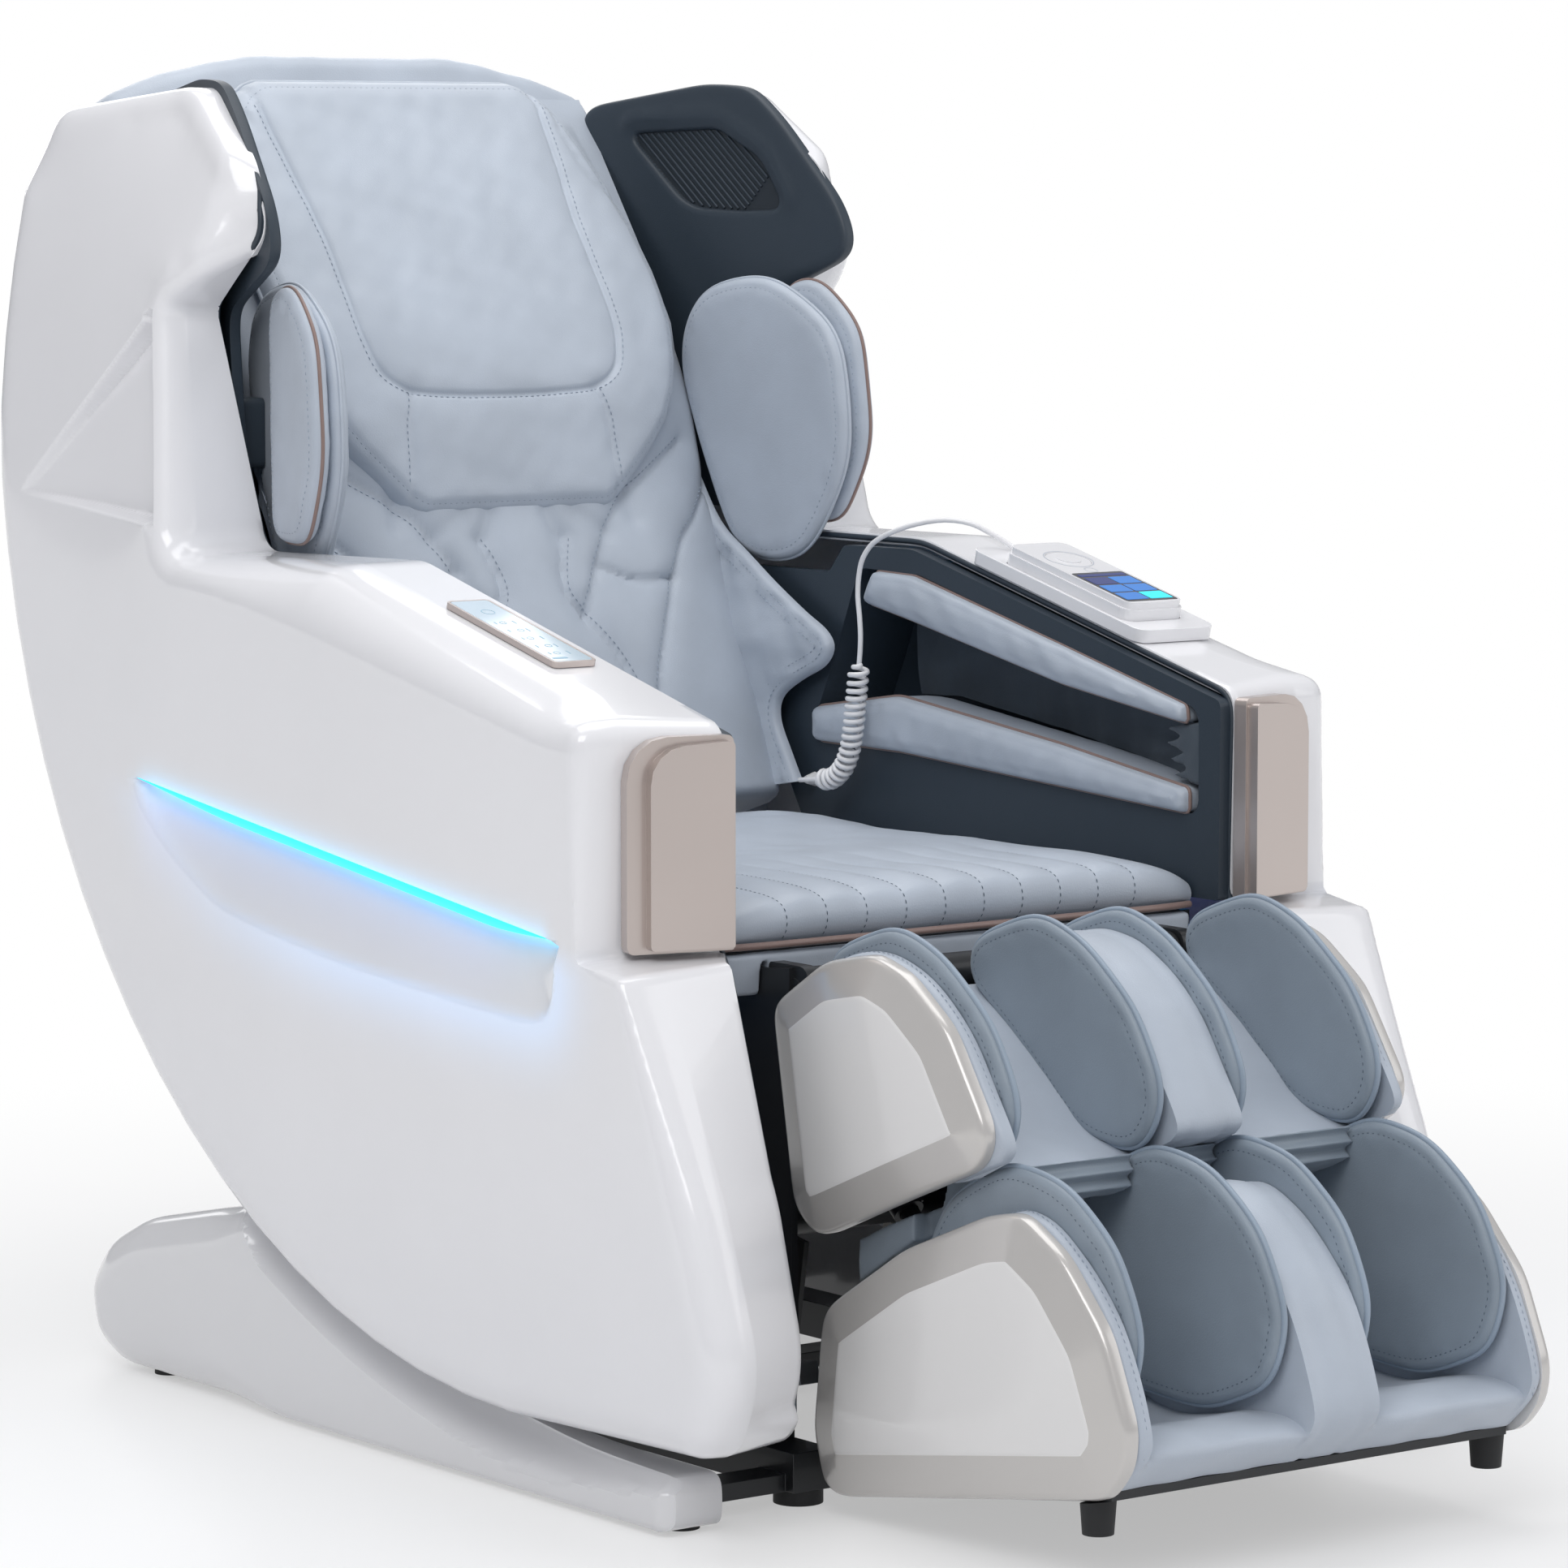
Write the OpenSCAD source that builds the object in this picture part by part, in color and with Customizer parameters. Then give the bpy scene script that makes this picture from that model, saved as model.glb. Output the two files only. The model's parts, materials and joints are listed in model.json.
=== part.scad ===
// Massage chair: a half-moon shelled chair that tilts on a curved rail base.
// Millimetres. +Z up, the sitter faces -Y, the sitter's right hand is -X.

/* [Side shells] */
// Half of the overall width, to the crown of a side shell
shell_half_w = 386; // [370:1:400]
// Wall of the moulded side shells
shell_wall = 8; // [5:1:11]
// Radius of the shells' round rear outline
shell_arc_r = 799; // [790:1:806]
// Depth of the scoop that holds the light strip
scoop_depth = 12; // [6:1:14]
// Depth of the triangular recess below the wing
recess_depth = 13; // [6:1:14]

/* [Seat and arms] */
// Half of the clear width between the arm liners
seat_half_w = 250; // [244:1:254]
// Wall of the arm and wing liners
liner_t = 12; // [8:1:12]
// Height of the seat cushion's top
seat_top = 479; // [474:1:488]
// Thickness of the seat cushion
seat_t = 46; // [40:1:50]
// Number of sewn channels across the seat front
seat_channels = 11; // [7:2:13]
// Thickness of the arm caps
cap_t = 22; // [16:1:26]

/* [Back] */
// Lean of the backrest from the vertical, in degrees
back_lean = 13; // [11:0.5:14]
// Half width of the back cushion
back_half_w = 236; // [225:1:240]
// Length of the back cushion along its lean
back_len = 649; // [636:1:652]
// Thickness of the head pad
head_t = 30; // [26:1:34]
// Thickness of each shoulder pad layer
shoulder_t = 20; // [14:1:22]

/* [Leg rest] */
// Half width across the leg rest's side covers
leg_half_w = 224; // [216:1:232]
// Width of the pads' rims outside the outer fins
rim_w = 12; // [8:1:20]
// Half width of the block between the troughs
centre_half_w = 34; // [28:1:38]
// Thickness of the leaf-shaped fins
fin_t = 16; // [12:1:18]
// Thickness of the leg rest's side covers
cover_t = 20; // [14:1:22]
// Diameter of the knee hinge pin
knee_pin_d = 16; // [12:1:20]

/* [Base and tilt] */
// Radius of the rails that the chair tilts on, at their underside
rail_r = 932; // [926:1:936]
// Radial depth of the rails
rail_depth = 18; // [14:1:20]
// Width of the rails
rail_w = 20; // [14:1:24]
// Distance of each rail from the middle
rail_x = 200; // [180:1:210]
// Width of the base side runners
runner_w = 54; // [40:1:58]
// Height of the feet under the base
foot_h = 12; // [8:1:12]
// Diameter of the tilt actuator's rod
rod_d = 18; // [14:1:20]
// Diameter of the actuator's cross pin
cross_pin_d = 12; // [8:1:14]
// Diameter of the transport wheels
wheel_d = 52; // [44:1:56]
// Diameter of the transport wheels' axle
axle_d = 10; // [8:1:14]

/* [Handset] */
// Length of the handset
handset_len = 172; // [150:1:180]
// Width of the handset
handset_w = 66; // [56:1:72]
// Diameter of the round key pad
key_d = 40; // [32:1:44]
// Diameter of the handset cord
cord_d = 4.6; // [4:0.2:5]
// Diameter of the cord's curls, across the outside
curl_d = 20; // [18:0.5:21]
// Number of curls
curl_count = 20; // [16:1:21]

/* [Fits] */
// Clearance between a soft piece and its neighbour on another body
soft_gap = 0.4; // [0.3:0.1:1]
// Radial clearance of running fits
run_gap = 0.05; // [0.02:0.01:0.1]
// Clearance of sliding shoes and rods
slide_gap = 0.3; // [0.2:0.05:0.4]

/* [Hidden] */

// Colours
white = "#ececf0";
base_grey = "#dedee1";
leather = "#b2bece";
leather_deep = "#8d9bad";
slate = "#2c363f";
champagne = "#beb4b0";
steel = "#3a3d41";
zinc = "#9aa0a6";
black = "#1b1c1e";
aqua = "#35ccff";

// Curved rail: the chair tilts about this line, which lies along X
tilt_y = -150;
tilt_z = 1017;
tilt_range = 22;
runner_half = 366;
runner_in = runner_half - runner_w;

// Side shell sections, measured from the middle
arm_rim_x = seat_half_w + liner_t;
shell_edge_x = shell_half_w - 38;
cap_lean = 13;
cap_flare = (shell_edge_x - arm_rim_x) * tan(cap_lean);
cap_y = -248;
// Slope of the arm top, which falls toward the front
arm_slope = 0.256;
shell_low = 64;
shell_arc_c = [-138, shell_low + shell_arc_r];
shell_arc_a0 = -4;
shell_arc_a1 = 102;
function on_shell_arc(a) = shell_arc_c + shell_arc_r * [sin(a), -cos(a)];

// Knee hinge
knee_y = -274;
knee_z = 408;

// ---- Vector and outline functions ----
function lerp(a, b, t) = a + (b - a) * t;
function unit(v) = v / norm(v);
function xy(p) = [p[0], p[1]];
function total(v, i = 0) = i >= len(v) ? 0 * v[0] : v[i] + total(v, i + 1);
function middle(v) = total(v) / len(v);
function ring3(x, pts) = [for (p = pts) [x, p[0], p[1]]];

// Points of the fillet of radius r at corner b, in n steps
function fillet(a, b, c, r, n) = r <= 0 ? [b] :
  let (u = unit(a - b), v = unit(c - b), half = acos(u * v) / 2, d = r / tan(half),
       m = b + unit(u + v) * r / sin(half), s = b + u * d, e = b + v * d,
       a0 = atan2(s[1] - m[1], s[0] - m[0]), a1 = atan2(e[1] - m[1], e[0] - m[0]),
       turn = a1 - a0 > 180 ? a1 - a0 - 360 : a1 - a0 < -180 ? a1 - a0 + 360 : a1 - a0)
  [for (i = [0:n]) m + r * [cos(a0 + turn * i / n), sin(a0 + turn * i / n)]];

// Closed outline through corners [a, b, radius], each rounded in n steps
function rounded(v, n = 4) = let (k = len(v))
  [for (i = [0:k - 1]) each fillet(xy(v[(i + k - 1) % k]), xy(v[i]), xy(v[(i + 1) % k]), v[i][2], n)];

// Direction into an outline at each of its points; side is 1 or -1 with its turning sense
function inward(p, side) = let (k = len(p))
  [for (i = [0:k - 1]) let (t = unit(p[(i + 1) % k] - p[(i + k - 1) % k])) side * [-t[1], t[0]]];

// The same outline moved into itself by d
function inset(p, d, side = 1) = let (n = inward(p, side)) [for (i = [0:len(p) - 1]) p[i] + n[i] * d];

// The same outline shrunk about its middle
function shrunk(p, s) = let (c = middle(p)) [for (q = p) c + (q - c) * s];

// Mirrors a copy to the other side as well
module both() {
  children();
  mirror([1, 0, 0]) children();
}

// ---- Meshed solids ----
function signed_volume(p, f) = total([for (t = f) p[t[0]] * cross(p[t[1]], p[t[2]])]) / 6;

// Closed solid from points and triangles or flat faces, turned the right way out
module solid(p, f) {
  tris = [for (t = f) each [for (i = [1:len(t) - 2]) [t[0], t[i], t[i + 1]]]];
  out = signed_volume(p, tris) > 0;
  polyhedron(p, out ? [for (t = f) [for (i = [len(t) - 1:-1:0]) t[i]]] : f, convexity = 6);
}

// Triangles between ring a and ring b of n points each
function band(a, b, n) = [for (i = [0:n - 1]) let (j = (i + 1) % n)
  each [[a * n + i, a * n + j, b * n + j], [a * n + i, b * n + j, b * n + i]]];

// Triangles that fill the flat outline p, found by clipping ears from the index list v
function clear_ear(p, v, a, b, c) = cross(p[b] - p[a], p[c] - p[b]) > 1e-6 &&
  len([for (j = v) if (j != a && j != b && j != c && cross(p[b] - p[a], p[j] - p[a]) >= 0 &&
                       cross(p[c] - p[b], p[j] - p[b]) >= 0 && cross(p[a] - p[c], p[j] - p[c]) >= 0) 1]) == 0;
function next_ear(p, v, k = 0) = let (n = len(v))
  k >= n ? 0 : clear_ear(p, v, v[(k + n - 1) % n], v[k], v[(k + 1) % n]) ? k : next_ear(p, v, k + 1);
function clip_ears(p, v) = let (n = len(v)) n == 3 ? [v] : let (k = next_ear(p, v))
  concat([[v[(k + n - 1) % n], v[k], v[(k + 1) % n]]], clip_ears(p, [for (i = [0:n - 1]) if (i != k) v[i]]));
function turned_area(p) = total([for (i = [0:len(p) - 1]) cross(p[i], p[(i + 1) % len(p)])]);
// The same for a ring that lies square to X, in the ring's own order
function fill_ring(ring) = let (p = [for (q = ring) [q[1], q[2]]], n = len(p))
  turned_area(p) > 0 ? clip_ears(p, [for (i = [0:n - 1]) i]) :
    [for (t = clip_ears(p, [for (i = [n - 1:-1:0]) i])) [t[2], t[1], t[0]]];

// Solid through rings, closed by flat ends square to X, or by fans to the middle of each end ring
module loft(rings, fan = false, same_ends = false) {
  n = len(rings[0]);
  m = len(rings);
  pts = [for (r = rings) each r];
  walls = [for (k = [0:m - 2]) each band(k, k + 1, n)];
  ends = fan ?
    [for (i = [0:n - 1]) each [[m * n, (i + 1) % n, i],
                               [m * n + 1, (m - 1) * n + i, (m - 1) * n + (i + 1) % n]]] :
    concat([for (t = fill_ring(rings[0])) [t[2], t[1], t[0]]],
           [for (t = fill_ring(rings[same_ends ? 0 : m - 1])) [for (i = t) (m - 1) * n + i]]);
  solid(fan ? concat(pts, [middle(rings[0]), middle(rings[m - 1])]) : pts, concat(walls, ends));
}

// Pad across X from x0, of thickness t: crowned faces, drawn-in edge, outline in Y and Z
module pad_x(outline, x0, t) {
  steps = [[1, 0.5], [0.965, 0.12], [0.72, 0]];
  loft(concat([for (i = [2:-1:0]) ring3(x0 + t * steps[i][1], shrunk(outline, steps[i][0]))],
              [for (i = [1:2]) ring3(x0 + t * (1 - steps[i][1]), shrunk(outline, steps[i][0]))]), true);
}

// Rounded plate across X, of thickness t, with bevelled far edge
module cover_x(corners, x0, t, bevel, side = 1) {
  o = rounded(corners);
  loft([ring3(x0, o), ring3(x0 + t * 0.45, o), ring3(x0 + t * 0.8, inset(o, bevel * 0.3, side)),
        ring3(x0 + t, inset(o, bevel, side))]);
}

// Plate across X from x0 to x0 + t with an exact outline
module plate_x(outline, x0, t) translate([x0, 0, 0]) rotate([90, 0, 90]) linear_extrude(t) polygon(outline);

// Tube or rod along X
module rod_x(x0, x1, y, z, d) translate([x0, y, z]) rotate([0, 90, 0]) cylinder(h = x1 - x0, d = d, $fn = 48);

// Rod along Y
module rod_y(y0, y1, x, z, d) translate([x, y0, z]) rotate([-90, 0, 0]) cylinder(h = y1 - y0, d = d, $fn = 48);

// Arc about the tilt line: radii r0 to r1, width x0 to x1, angles a0 to a1 from straight down, + rearward
module tilt_arc(r0, r1, x0, x1, a0, a1) translate([0, tilt_y, tilt_z]) rotate([90, 0, 90])
  rotate([0, 0, a0 - 90]) rotate_extrude(angle = a1 - a0, $fn = 180)
    translate([r0, x0]) square([r1 - r0, x1 - x0]);

// ---- Side shells ----
// Corners: y, z, radius, share of the edge rounding, rim shift in y and z, rim distance from the middle,
// share of the full width outside the rim
rear_top = on_shell_arc(shell_arc_a1) + [-39.5, 69.9];
shell_corners = [
  [rear_top[0], rear_top[1], 40, 1, -6, -4, 286, 0.66],
  [440, 1118, 50, 0.6, 0, 0, 278, 0.3],
  [350, 1052, 60, 0.6, 0, 0, 293, 0.32],
  [313, 996, 24, 0.6, 0, 0, 308, 0.36],
  [404, 929, 14, 0.7, 0, 0, 304, 0.75],
  [369, 722, 26, 0.8, 0, 0, arm_rim_x + 18, 1],
  [150, 724, 90, 1, 0, 0, arm_rim_x, 1],
  [cap_y, 622, 20, 0.5, -cap_flare, -cap_flare * arm_slope, arm_rim_x, 1],
  [cap_y + 4, 441, 4, 0.1, -cap_flare, 0, arm_rim_x, 1],
  [-301, 434, 10, 0.25, -3, 3, 283, 1],
  [-384, 264, 300, 0.9, 24, 0, 281, 1],
  [-430, 140, 90, 1, 31, 0, 281, 1],
  [-398, 71, 40, 1, 20, 0, 281, 1]
];
// The shells narrow toward the top of their rear outline
function arc_share(a) = 1 - 0.2 * max(0, (a - shell_arc_a1 + 16) / 16);
shell_arc_steps = 23;
shell_arc = [for (i = [0:shell_arc_steps])
  let (a = lerp(shell_arc_a0, shell_arc_a1, i / shell_arc_steps), p = on_shell_arc(a))
  [p[0], p[1], 0, 1, 0, 0, 283, arc_share(a)]];
shell_all = concat(shell_corners, shell_arc);
corner_steps = 4;
// Column c of the corner table, repeated for each fillet point
function shell_column(c) = [for (p = shell_all) each (p[2] > 0 ? [for (i = [0:corner_steps]) p[c]] : [p[c]])];
shell_edge = rounded(shell_all, corner_steps);
shell_share = shell_column(3);
shell_rim_y = shell_column(4);
shell_rim_z = shell_column(5);
shell_rim_x = shell_column(6);
shell_width = shell_column(7);
shell_in = inward(shell_edge, 1);
// Ring inside the edge by d, at distance x from the middle
function shell_ring(d, x) = [for (i = [0:len(shell_edge) - 1])
  let (q = shell_edge[i] + shell_in[i] * d * shell_share[i]) [lerp(shell_rim_x[i], x, shell_width[i]),
      q[0], q[1]]];
function shell_rim(d, dx = 0) = [for (i = [0:len(shell_edge) - 1])
  [shell_rim_x[i] + dx, shell_edge[i][0] + shell_rim_y[i] + shell_in[i][0] * d,
   shell_edge[i][1] + shell_rim_z[i] + shell_in[i][1] * d]];

// Slope of the light strip along the shell, and its ends
strip_rear = [410, 530.4];
strip_front = [-196, 454.7];
strip_w = 9;
scoop = rounded([[430, 534, 8], [-206, 454, 14], [-206, 394, 24], [-120, 376, 60], [130, 410, 200],
    [340, 440, 60]]);
wing_recess = rounded([[392, 880, 8], [366, 742, 10], [585, 786, 30]]);

module side_shell() {
  difference() {
    loft([shell_ring(34, shell_half_w), shell_ring(17, shell_half_w - 3), shell_ring(6, shell_half_w - 13),
          shell_ring(0, shell_edge_x), shell_rim(0), shell_rim(shell_wall),
          shell_ring(shell_wall, shell_edge_x - 4), shell_ring(26, shell_half_w - shell_wall - 3)],
              same_ends = true);
    plate_x(scoop, shell_half_w - scoop_depth * 0.6, scoop_depth);
    plate_x(wing_recess, shell_half_w - recess_depth * 0.55, recess_depth);
  }
}

module side_shell_left() color(white) side_shell();
module side_shell_right() color(white) mirror([1, 0, 0]) side_shell();

// Light strip along the top edge of the scoop
module light_strips() color(aqua) both()
  plate_x([[strip_rear[0], strip_rear[1] - strip_w], strip_rear, strip_front,
           [strip_front[0], strip_front[1] - strip_w * 0.6]], shell_half_w - scoop_depth * 0.6, 4);

// ---- Liners ----
slot_window = rounded([[300, 535, 16], [262, 612, 30], [226, 694, 14], [140, 692, 40], [-236, 600, 16],
                       [-236, 512, 12], [160, 534, 200]]);
liner_outline = rounded([[-262, 443, 3], [-263, 609, 8], [150, 714, 60], [248, 713, 10], [270, 688, 10],
    [392, 688, 6],
                         [392, 600, 60], [296, 443, 10]]);
slot_depth = 74;
module arm_liner() {
  difference() {
    union() {
      plate_x(liner_outline, seat_half_w, liner_t);
      plate_x(inset(slot_window, -5), seat_half_w + liner_t, slot_depth);
    }
    plate_x(slot_window, seat_half_w - 1, liner_t + slot_depth - 3);
  }
  // Ear that carries the arm liner on the seat frame
  plate_x([[-120, 400], [-60, 400], [-60, 443], [-120, 443]], seat_half_w, 6);
}
module arm_liner_left() color(slate) arm_liner();
module arm_liner_right() color(slate) mirror([1, 0, 0]) arm_liner();

// Wing liner: a plate that turns in toward the back
wing_turn = 11.8;
wing_hinge = [300, 316];
wing_t = 8;
wing_outline = rounded([[7.7, 998.1, 15.6], [40.4, 1045.7, 51.6], [128.1, 1109.3, 41.6], [286, 1090, 16],
    [262, 900, 20],
                        [196, 738, 16], [72, 738, 12], [104, 925, 10]]);
leaf = rounded([[66, 1009, 8], [120, 1007, 20], [186, 1010, 60], [263, 1080, 6], [150, 1084, 30],
    [96, 1056, 40]]);
module on_wing() translate([wing_hinge[0], wing_hinge[1], 0]) rotate([0, 0, wing_turn]) children();
module wing_liner() {
  on_wing() difference() {
    plate_x(wing_outline, 0, wing_t);
    plate_x(leaf, -1, wing_t + 2);
  }
  // Bracket behind the shoulder pads
  on_shoulder(shoulder_x + (shoulder_t + soft_gap) / cos(shoulder_turn)) translate([0, 150, 790]) cube([46,
      34, 60]);
}
module wing_liner_left() color(slate) wing_liner();
module wing_liner_right() color(slate) mirror([1, 0, 0]) wing_liner();

// Speaker grille: diagonal slats in a leaf-shaped frame
slat_pitch = 8;
slat_w = 4;
module speaker_grille() on_wing() {
  difference() {
    plate_x(inset(leaf, 0.2), 2, wing_t - 2);
    plate_x(inset(leaf, 5), 1, 4);
  }
  intersection() {
    plate_x(inset(leaf, 5), 2.5, 2.5);
    for (i = [0:30]) translate([0, 50 + i * slat_pitch, 1000]) rotate([-28, 0, 0])
      translate([2.5, 0, -40]) cube([2.5, slat_w, 170]);
  }
}
module speaker_grilles() color("#20282f") both() speaker_grille();

// ---- Arm caps and quick keys ----
cap_w = (shell_edge_x - arm_rim_x) / cos(cap_lean) + 1.7;
cap_z0 = 444;
cap_z1 = 612;
module arm_cap() translate([arm_rim_x - 2, cap_y - cap_flare - 1, 0]) rotate([0, 0, cap_lean]) {
  rotate([90, 0, 0]) linear_extrude(cap_t * 0.55)
    polygon(rounded([[0, cap_z0, 2], [cap_w, cap_z0, 6], [cap_w, cap_z1, 34], [0, cap_z1, 6]]));
  translate([0, -cap_t * 0.55, 0]) rotate([90, 0, 0]) linear_extrude(cap_t * 0.45)
    polygon(rounded([[3, cap_z0 + 3, 2], [cap_w - 16, cap_z0 + 3, 4], [cap_w - 16, cap_z1 - 8, 30],
        [3, cap_z1 - 4, 4]]));
}
module arm_cap_left() color(champagne) arm_cap();
module arm_cap_right() color(champagne) mirror([1, 0, 0]) arm_cap();

// Arm top: its height at y
arm_fall = atan(arm_slope);
function arm_z(y) = 724 - (150 - y) * arm_slope;
// Places a piece on the arm top, its local Y running along the arm
module on_arm(x, y, h = 0) translate([x, y, arm_z(y) + h]) rotate([arm_fall, 0, 0]) children();

key_x = 300;
key_w = 42;
key_len = 160;
module rounded_block(w, l, h, r) linear_extrude(h) polygon(rounded([[-w / 2, -l / 2, r], [w / 2, -l / 2, r],
  [w / 2, l / 2, r], [-w / 2, l / 2, r]]));
module key_panel() color(champagne) on_arm(-key_x, -43, 0.5) difference() {
  rounded_block(key_w, key_len, 5, 5);
  translate([0, 0, 3]) rounded_block(key_w - 5, key_len - 5, 5, 3.5);
}
module key_glass() color("#cfe6f2") on_arm(-key_x, -43, 0.5) translate([0, 0, 3.05])
  rounded_block(key_w - 5.4, key_len - 5.4, 2, 3.3);

// ---- Handset on the left arm ----
dock_x = 302;
dock_y = -32;
handset_x = 296;
handset_t = 20;
dock_h = 12;
module handset_dock() color(white) on_arm(dock_x, dock_y, 0.5) difference() {
  rounded_block(86, 236, dock_h, 12);
  translate([handset_x - dock_x, -8, dock_h - 5]) rounded_block(handset_w + 1.4, handset_len + 1.4, 8, 13);
}
module in_dock(h = 0) on_arm(dock_x, dock_y, 0.5)
  translate([handset_x - dock_x, -8, dock_h - 5 + soft_gap + h]) children();
module handset() color(white) in_dock() difference() {
  union() {
    rounded_block(handset_w, handset_len, handset_t * 0.7, 12);
    translate([0, 0, handset_t * 0.7]) rounded_block(handset_w - 4, handset_len - 4, handset_t * 0.3, 10);
  }
  translate([0, -handset_len * 0.23, handset_t - 1.6]) rounded_block(handset_w - 9, handset_len * 0.46, 4, 3);
  translate([0, handset_len * 0.22, handset_t - 6]) cylinder(d = key_d + 2 * slide_gap, h = 8, $fn = 64);
}
module handset_screen() color(black) in_dock(handset_t - 1.6) translate([0, -handset_len * 0.23, 0])
  rounded_block(handset_w - 9.6, handset_len * 0.46 - 0.6, 1.8, 2.8);
module handset_key() color("#f4f4f6") in_dock() translate([0, handset_len * 0.22, handset_t - 4.4]) {
  cylinder(d = key_d, h = 4, $fn = 64);
  cylinder(d = key_d * 0.55, h = 5, $fn = 64);
}

// ---- Handset cord: gland, lower lead, curls, upper lead ----
gland = [244, 290, 500];
lower_route = [[239, 290, 500], [231, 287, 500.5], [225, 279, 501.5], [222, 266, 503], [222, 249, 504.9]];
curl_path = [[222, 248, 505], [222, 229, 507], [222, 213, 517.5], [222, 203, 534], [222, 198, 553],
             [222, 195, 572.5], [222, 192, 592], [222, 189.5, 611.5]];
upper_route = [[222, 189.4, 612.2], [222, 188, 624], [222, 187.5, 638], [222, 189, 654], [222, 191.5, 672],
               [222, 190, 690], [222, 184, 706], [224, 171, 720], [228, 150, 730], [237, 126, 738],
               [250, 103, 742], [265, 86, 739], [280, 76, 730], [291, 68, 722], [295, 61, 717]];
function route_dir(p, i) = unit(p[min(i + 1, len(p) - 1)] - p[max(i - 1, 0)]);
function ring_at(c, d, r, n) = let (s = unit(cross(d, abs(d[0]) > 0.9 ? [0, 1, 0] : [1, 0, 0])),
    t = cross(d, s))
  [for (i = [0:n - 1]) c + r * (cos(360 * i / n) * s + sin(360 * i / n) * t)];
module tube(p, d, n = 8) loft([for (i = [0:len(p) - 1]) ring_at(p[i], route_dir(p, i), d / 2, n)]);

module cord_gland() color(white) translate(gland) rotate([0, -90, 0]) translate([0, 0, -5.6])
  cylinder(h = 10, d1 = 13, d2 = cord_d + 2.4, $fn = 32);
module cord_lower_lead() color(white) tube(lower_route, cord_d);
module cord_upper_lead() color(white) tube(upper_route, cord_d);

// Curly part: a helix wound round the curl path, run out straight at each end
function path_at(p, t) = let (n = len(p) - 1, k = min(floor(t * n), n - 1), u = t * n - k,
    a = p[max(k - 1, 0)], b = p[k], c = p[k + 1], d = p[min(k + 2, n)])
  ((2 * b) + (c - a) * u + (2 * a - 5 * b + 4 * c - d) * u * u + (3 * b - a - 3 * c + d) * pow(u, 3)) / 2;
curl_rings = 8;
curl_r = (curl_d - cord_d) / 2;
function curl_point(t) = let (
    c = path_at(curl_path, t), d = unit(path_at(curl_path, min(t + 0.03, 1)) - path_at(curl_path,
        max(t - 0.03, 0))),
    s = [1, 0, 0], u = cross(d, s), open = min(1, t * curl_count, (1 - t) * curl_count),
        a = 360 * curl_count * t)
  c + curl_r * open * (cos(a) * s + sin(a) * u);
curl_steps = curl_count * curl_rings;
curl_line = [for (i = [0:curl_steps]) curl_point(i / curl_steps)];
// Least gap between a turn and the next, past the run-out at each end
curl_gap = min([for (i = [curl_rings:curl_steps - 2 * curl_rings]) each
  [for (j = [i + 6:i + 10]) norm(curl_line[i] - curl_line[j])]]) - cord_d;
echo("least gap between curls", curl_gap);
module cord_curl() color(white) tube(curl_line, cord_d, 6);

// ---- Seat and tilt frame, on the chair ----
rail_a0 = -9;
rail_a1 = 46;
rail_top = rail_r - rail_depth;
plate_arc = [for (i = [0:16]) let (a = -8 + i * 49 / 16)
  [tilt_y + (rail_top - 0.6) * sin(a), tilt_z - (rail_top - 0.6) * cos(a)]];
frame_t = 6;
frame_tube_d = 30;
pan_z = seat_top - seat_t - 0.5;
lug_a = tilt_range / 2;
pin_low = tilt_z - 62;
module lug_plate(x) difference() {
  tilt_arc(rail_top - 30, pin_low + 33, x, x + 5, lug_a - 1.6, lug_a + 1.6);
  translate([0, tilt_y, tilt_z]) rotate([lug_a, 0, 0]) translate([x - 1, -cross_pin_d / 2 - 1.6,
      -(pin_low + 26)])
    cube([7, cross_pin_d + 3.2, 33]);
}
module seat_side_frame() {
  plate_x(concat(plate_arc, [[430, 396], [330, 430], [292, pan_z - 12], [-236, pan_z - 12], [-272, 424],
      [-272, 392]]),
          rail_x - frame_t / 2, frame_t);
  // Lug and pin of the knee hinge
  plate_x(rounded([[-292, 390, 12], [-240, 390, 4], [-240, 426, 4], [-292, 426, 12]]), rail_x - 13, 12);
}
module seat_frame() color(steel) {
  both() seat_side_frame();
  // Knee pin through both lugs
  rod_x(-rail_x, rail_x, knee_y, knee_z, knee_pin_d);
  // Cross tubes and pan
  for (p = [[-200, 330], [120, 250], [330, 380]])
    rod_x(-rail_x + frame_t / 2, rail_x - frame_t / 2, p[0], p[1], frame_tube_d);
  translate([-seat_half_w + soft_gap, -226, pan_z - 12]) cube([2 * (seat_half_w - soft_gap), 500, 12]);
  // Tube and lug that the actuator's pin pushes
  rod_x(-rail_x + frame_t / 2, rail_x - frame_t / 2, tilt_y + (rail_top - 44) * sin(lug_a),
        tilt_z - (rail_top - 44) * cos(lug_a), frame_tube_d);
  for (s = [0, 1]) mirror([s, 0, 0]) lug_plate(14);
  // Brackets that the back frame's posts stand between
  both() plate_x([[326, 370], [348, 370], [440, 466], [436, 512], [407, 512], [401, 468]],
      post_x + post_w + soft_gap, 7);
}
module arc_rails() color(zinc) both()
  tilt_arc(rail_top, rail_r, rail_x - rail_w / 2, rail_x + rail_w / 2, rail_a0, rail_a1);

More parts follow.
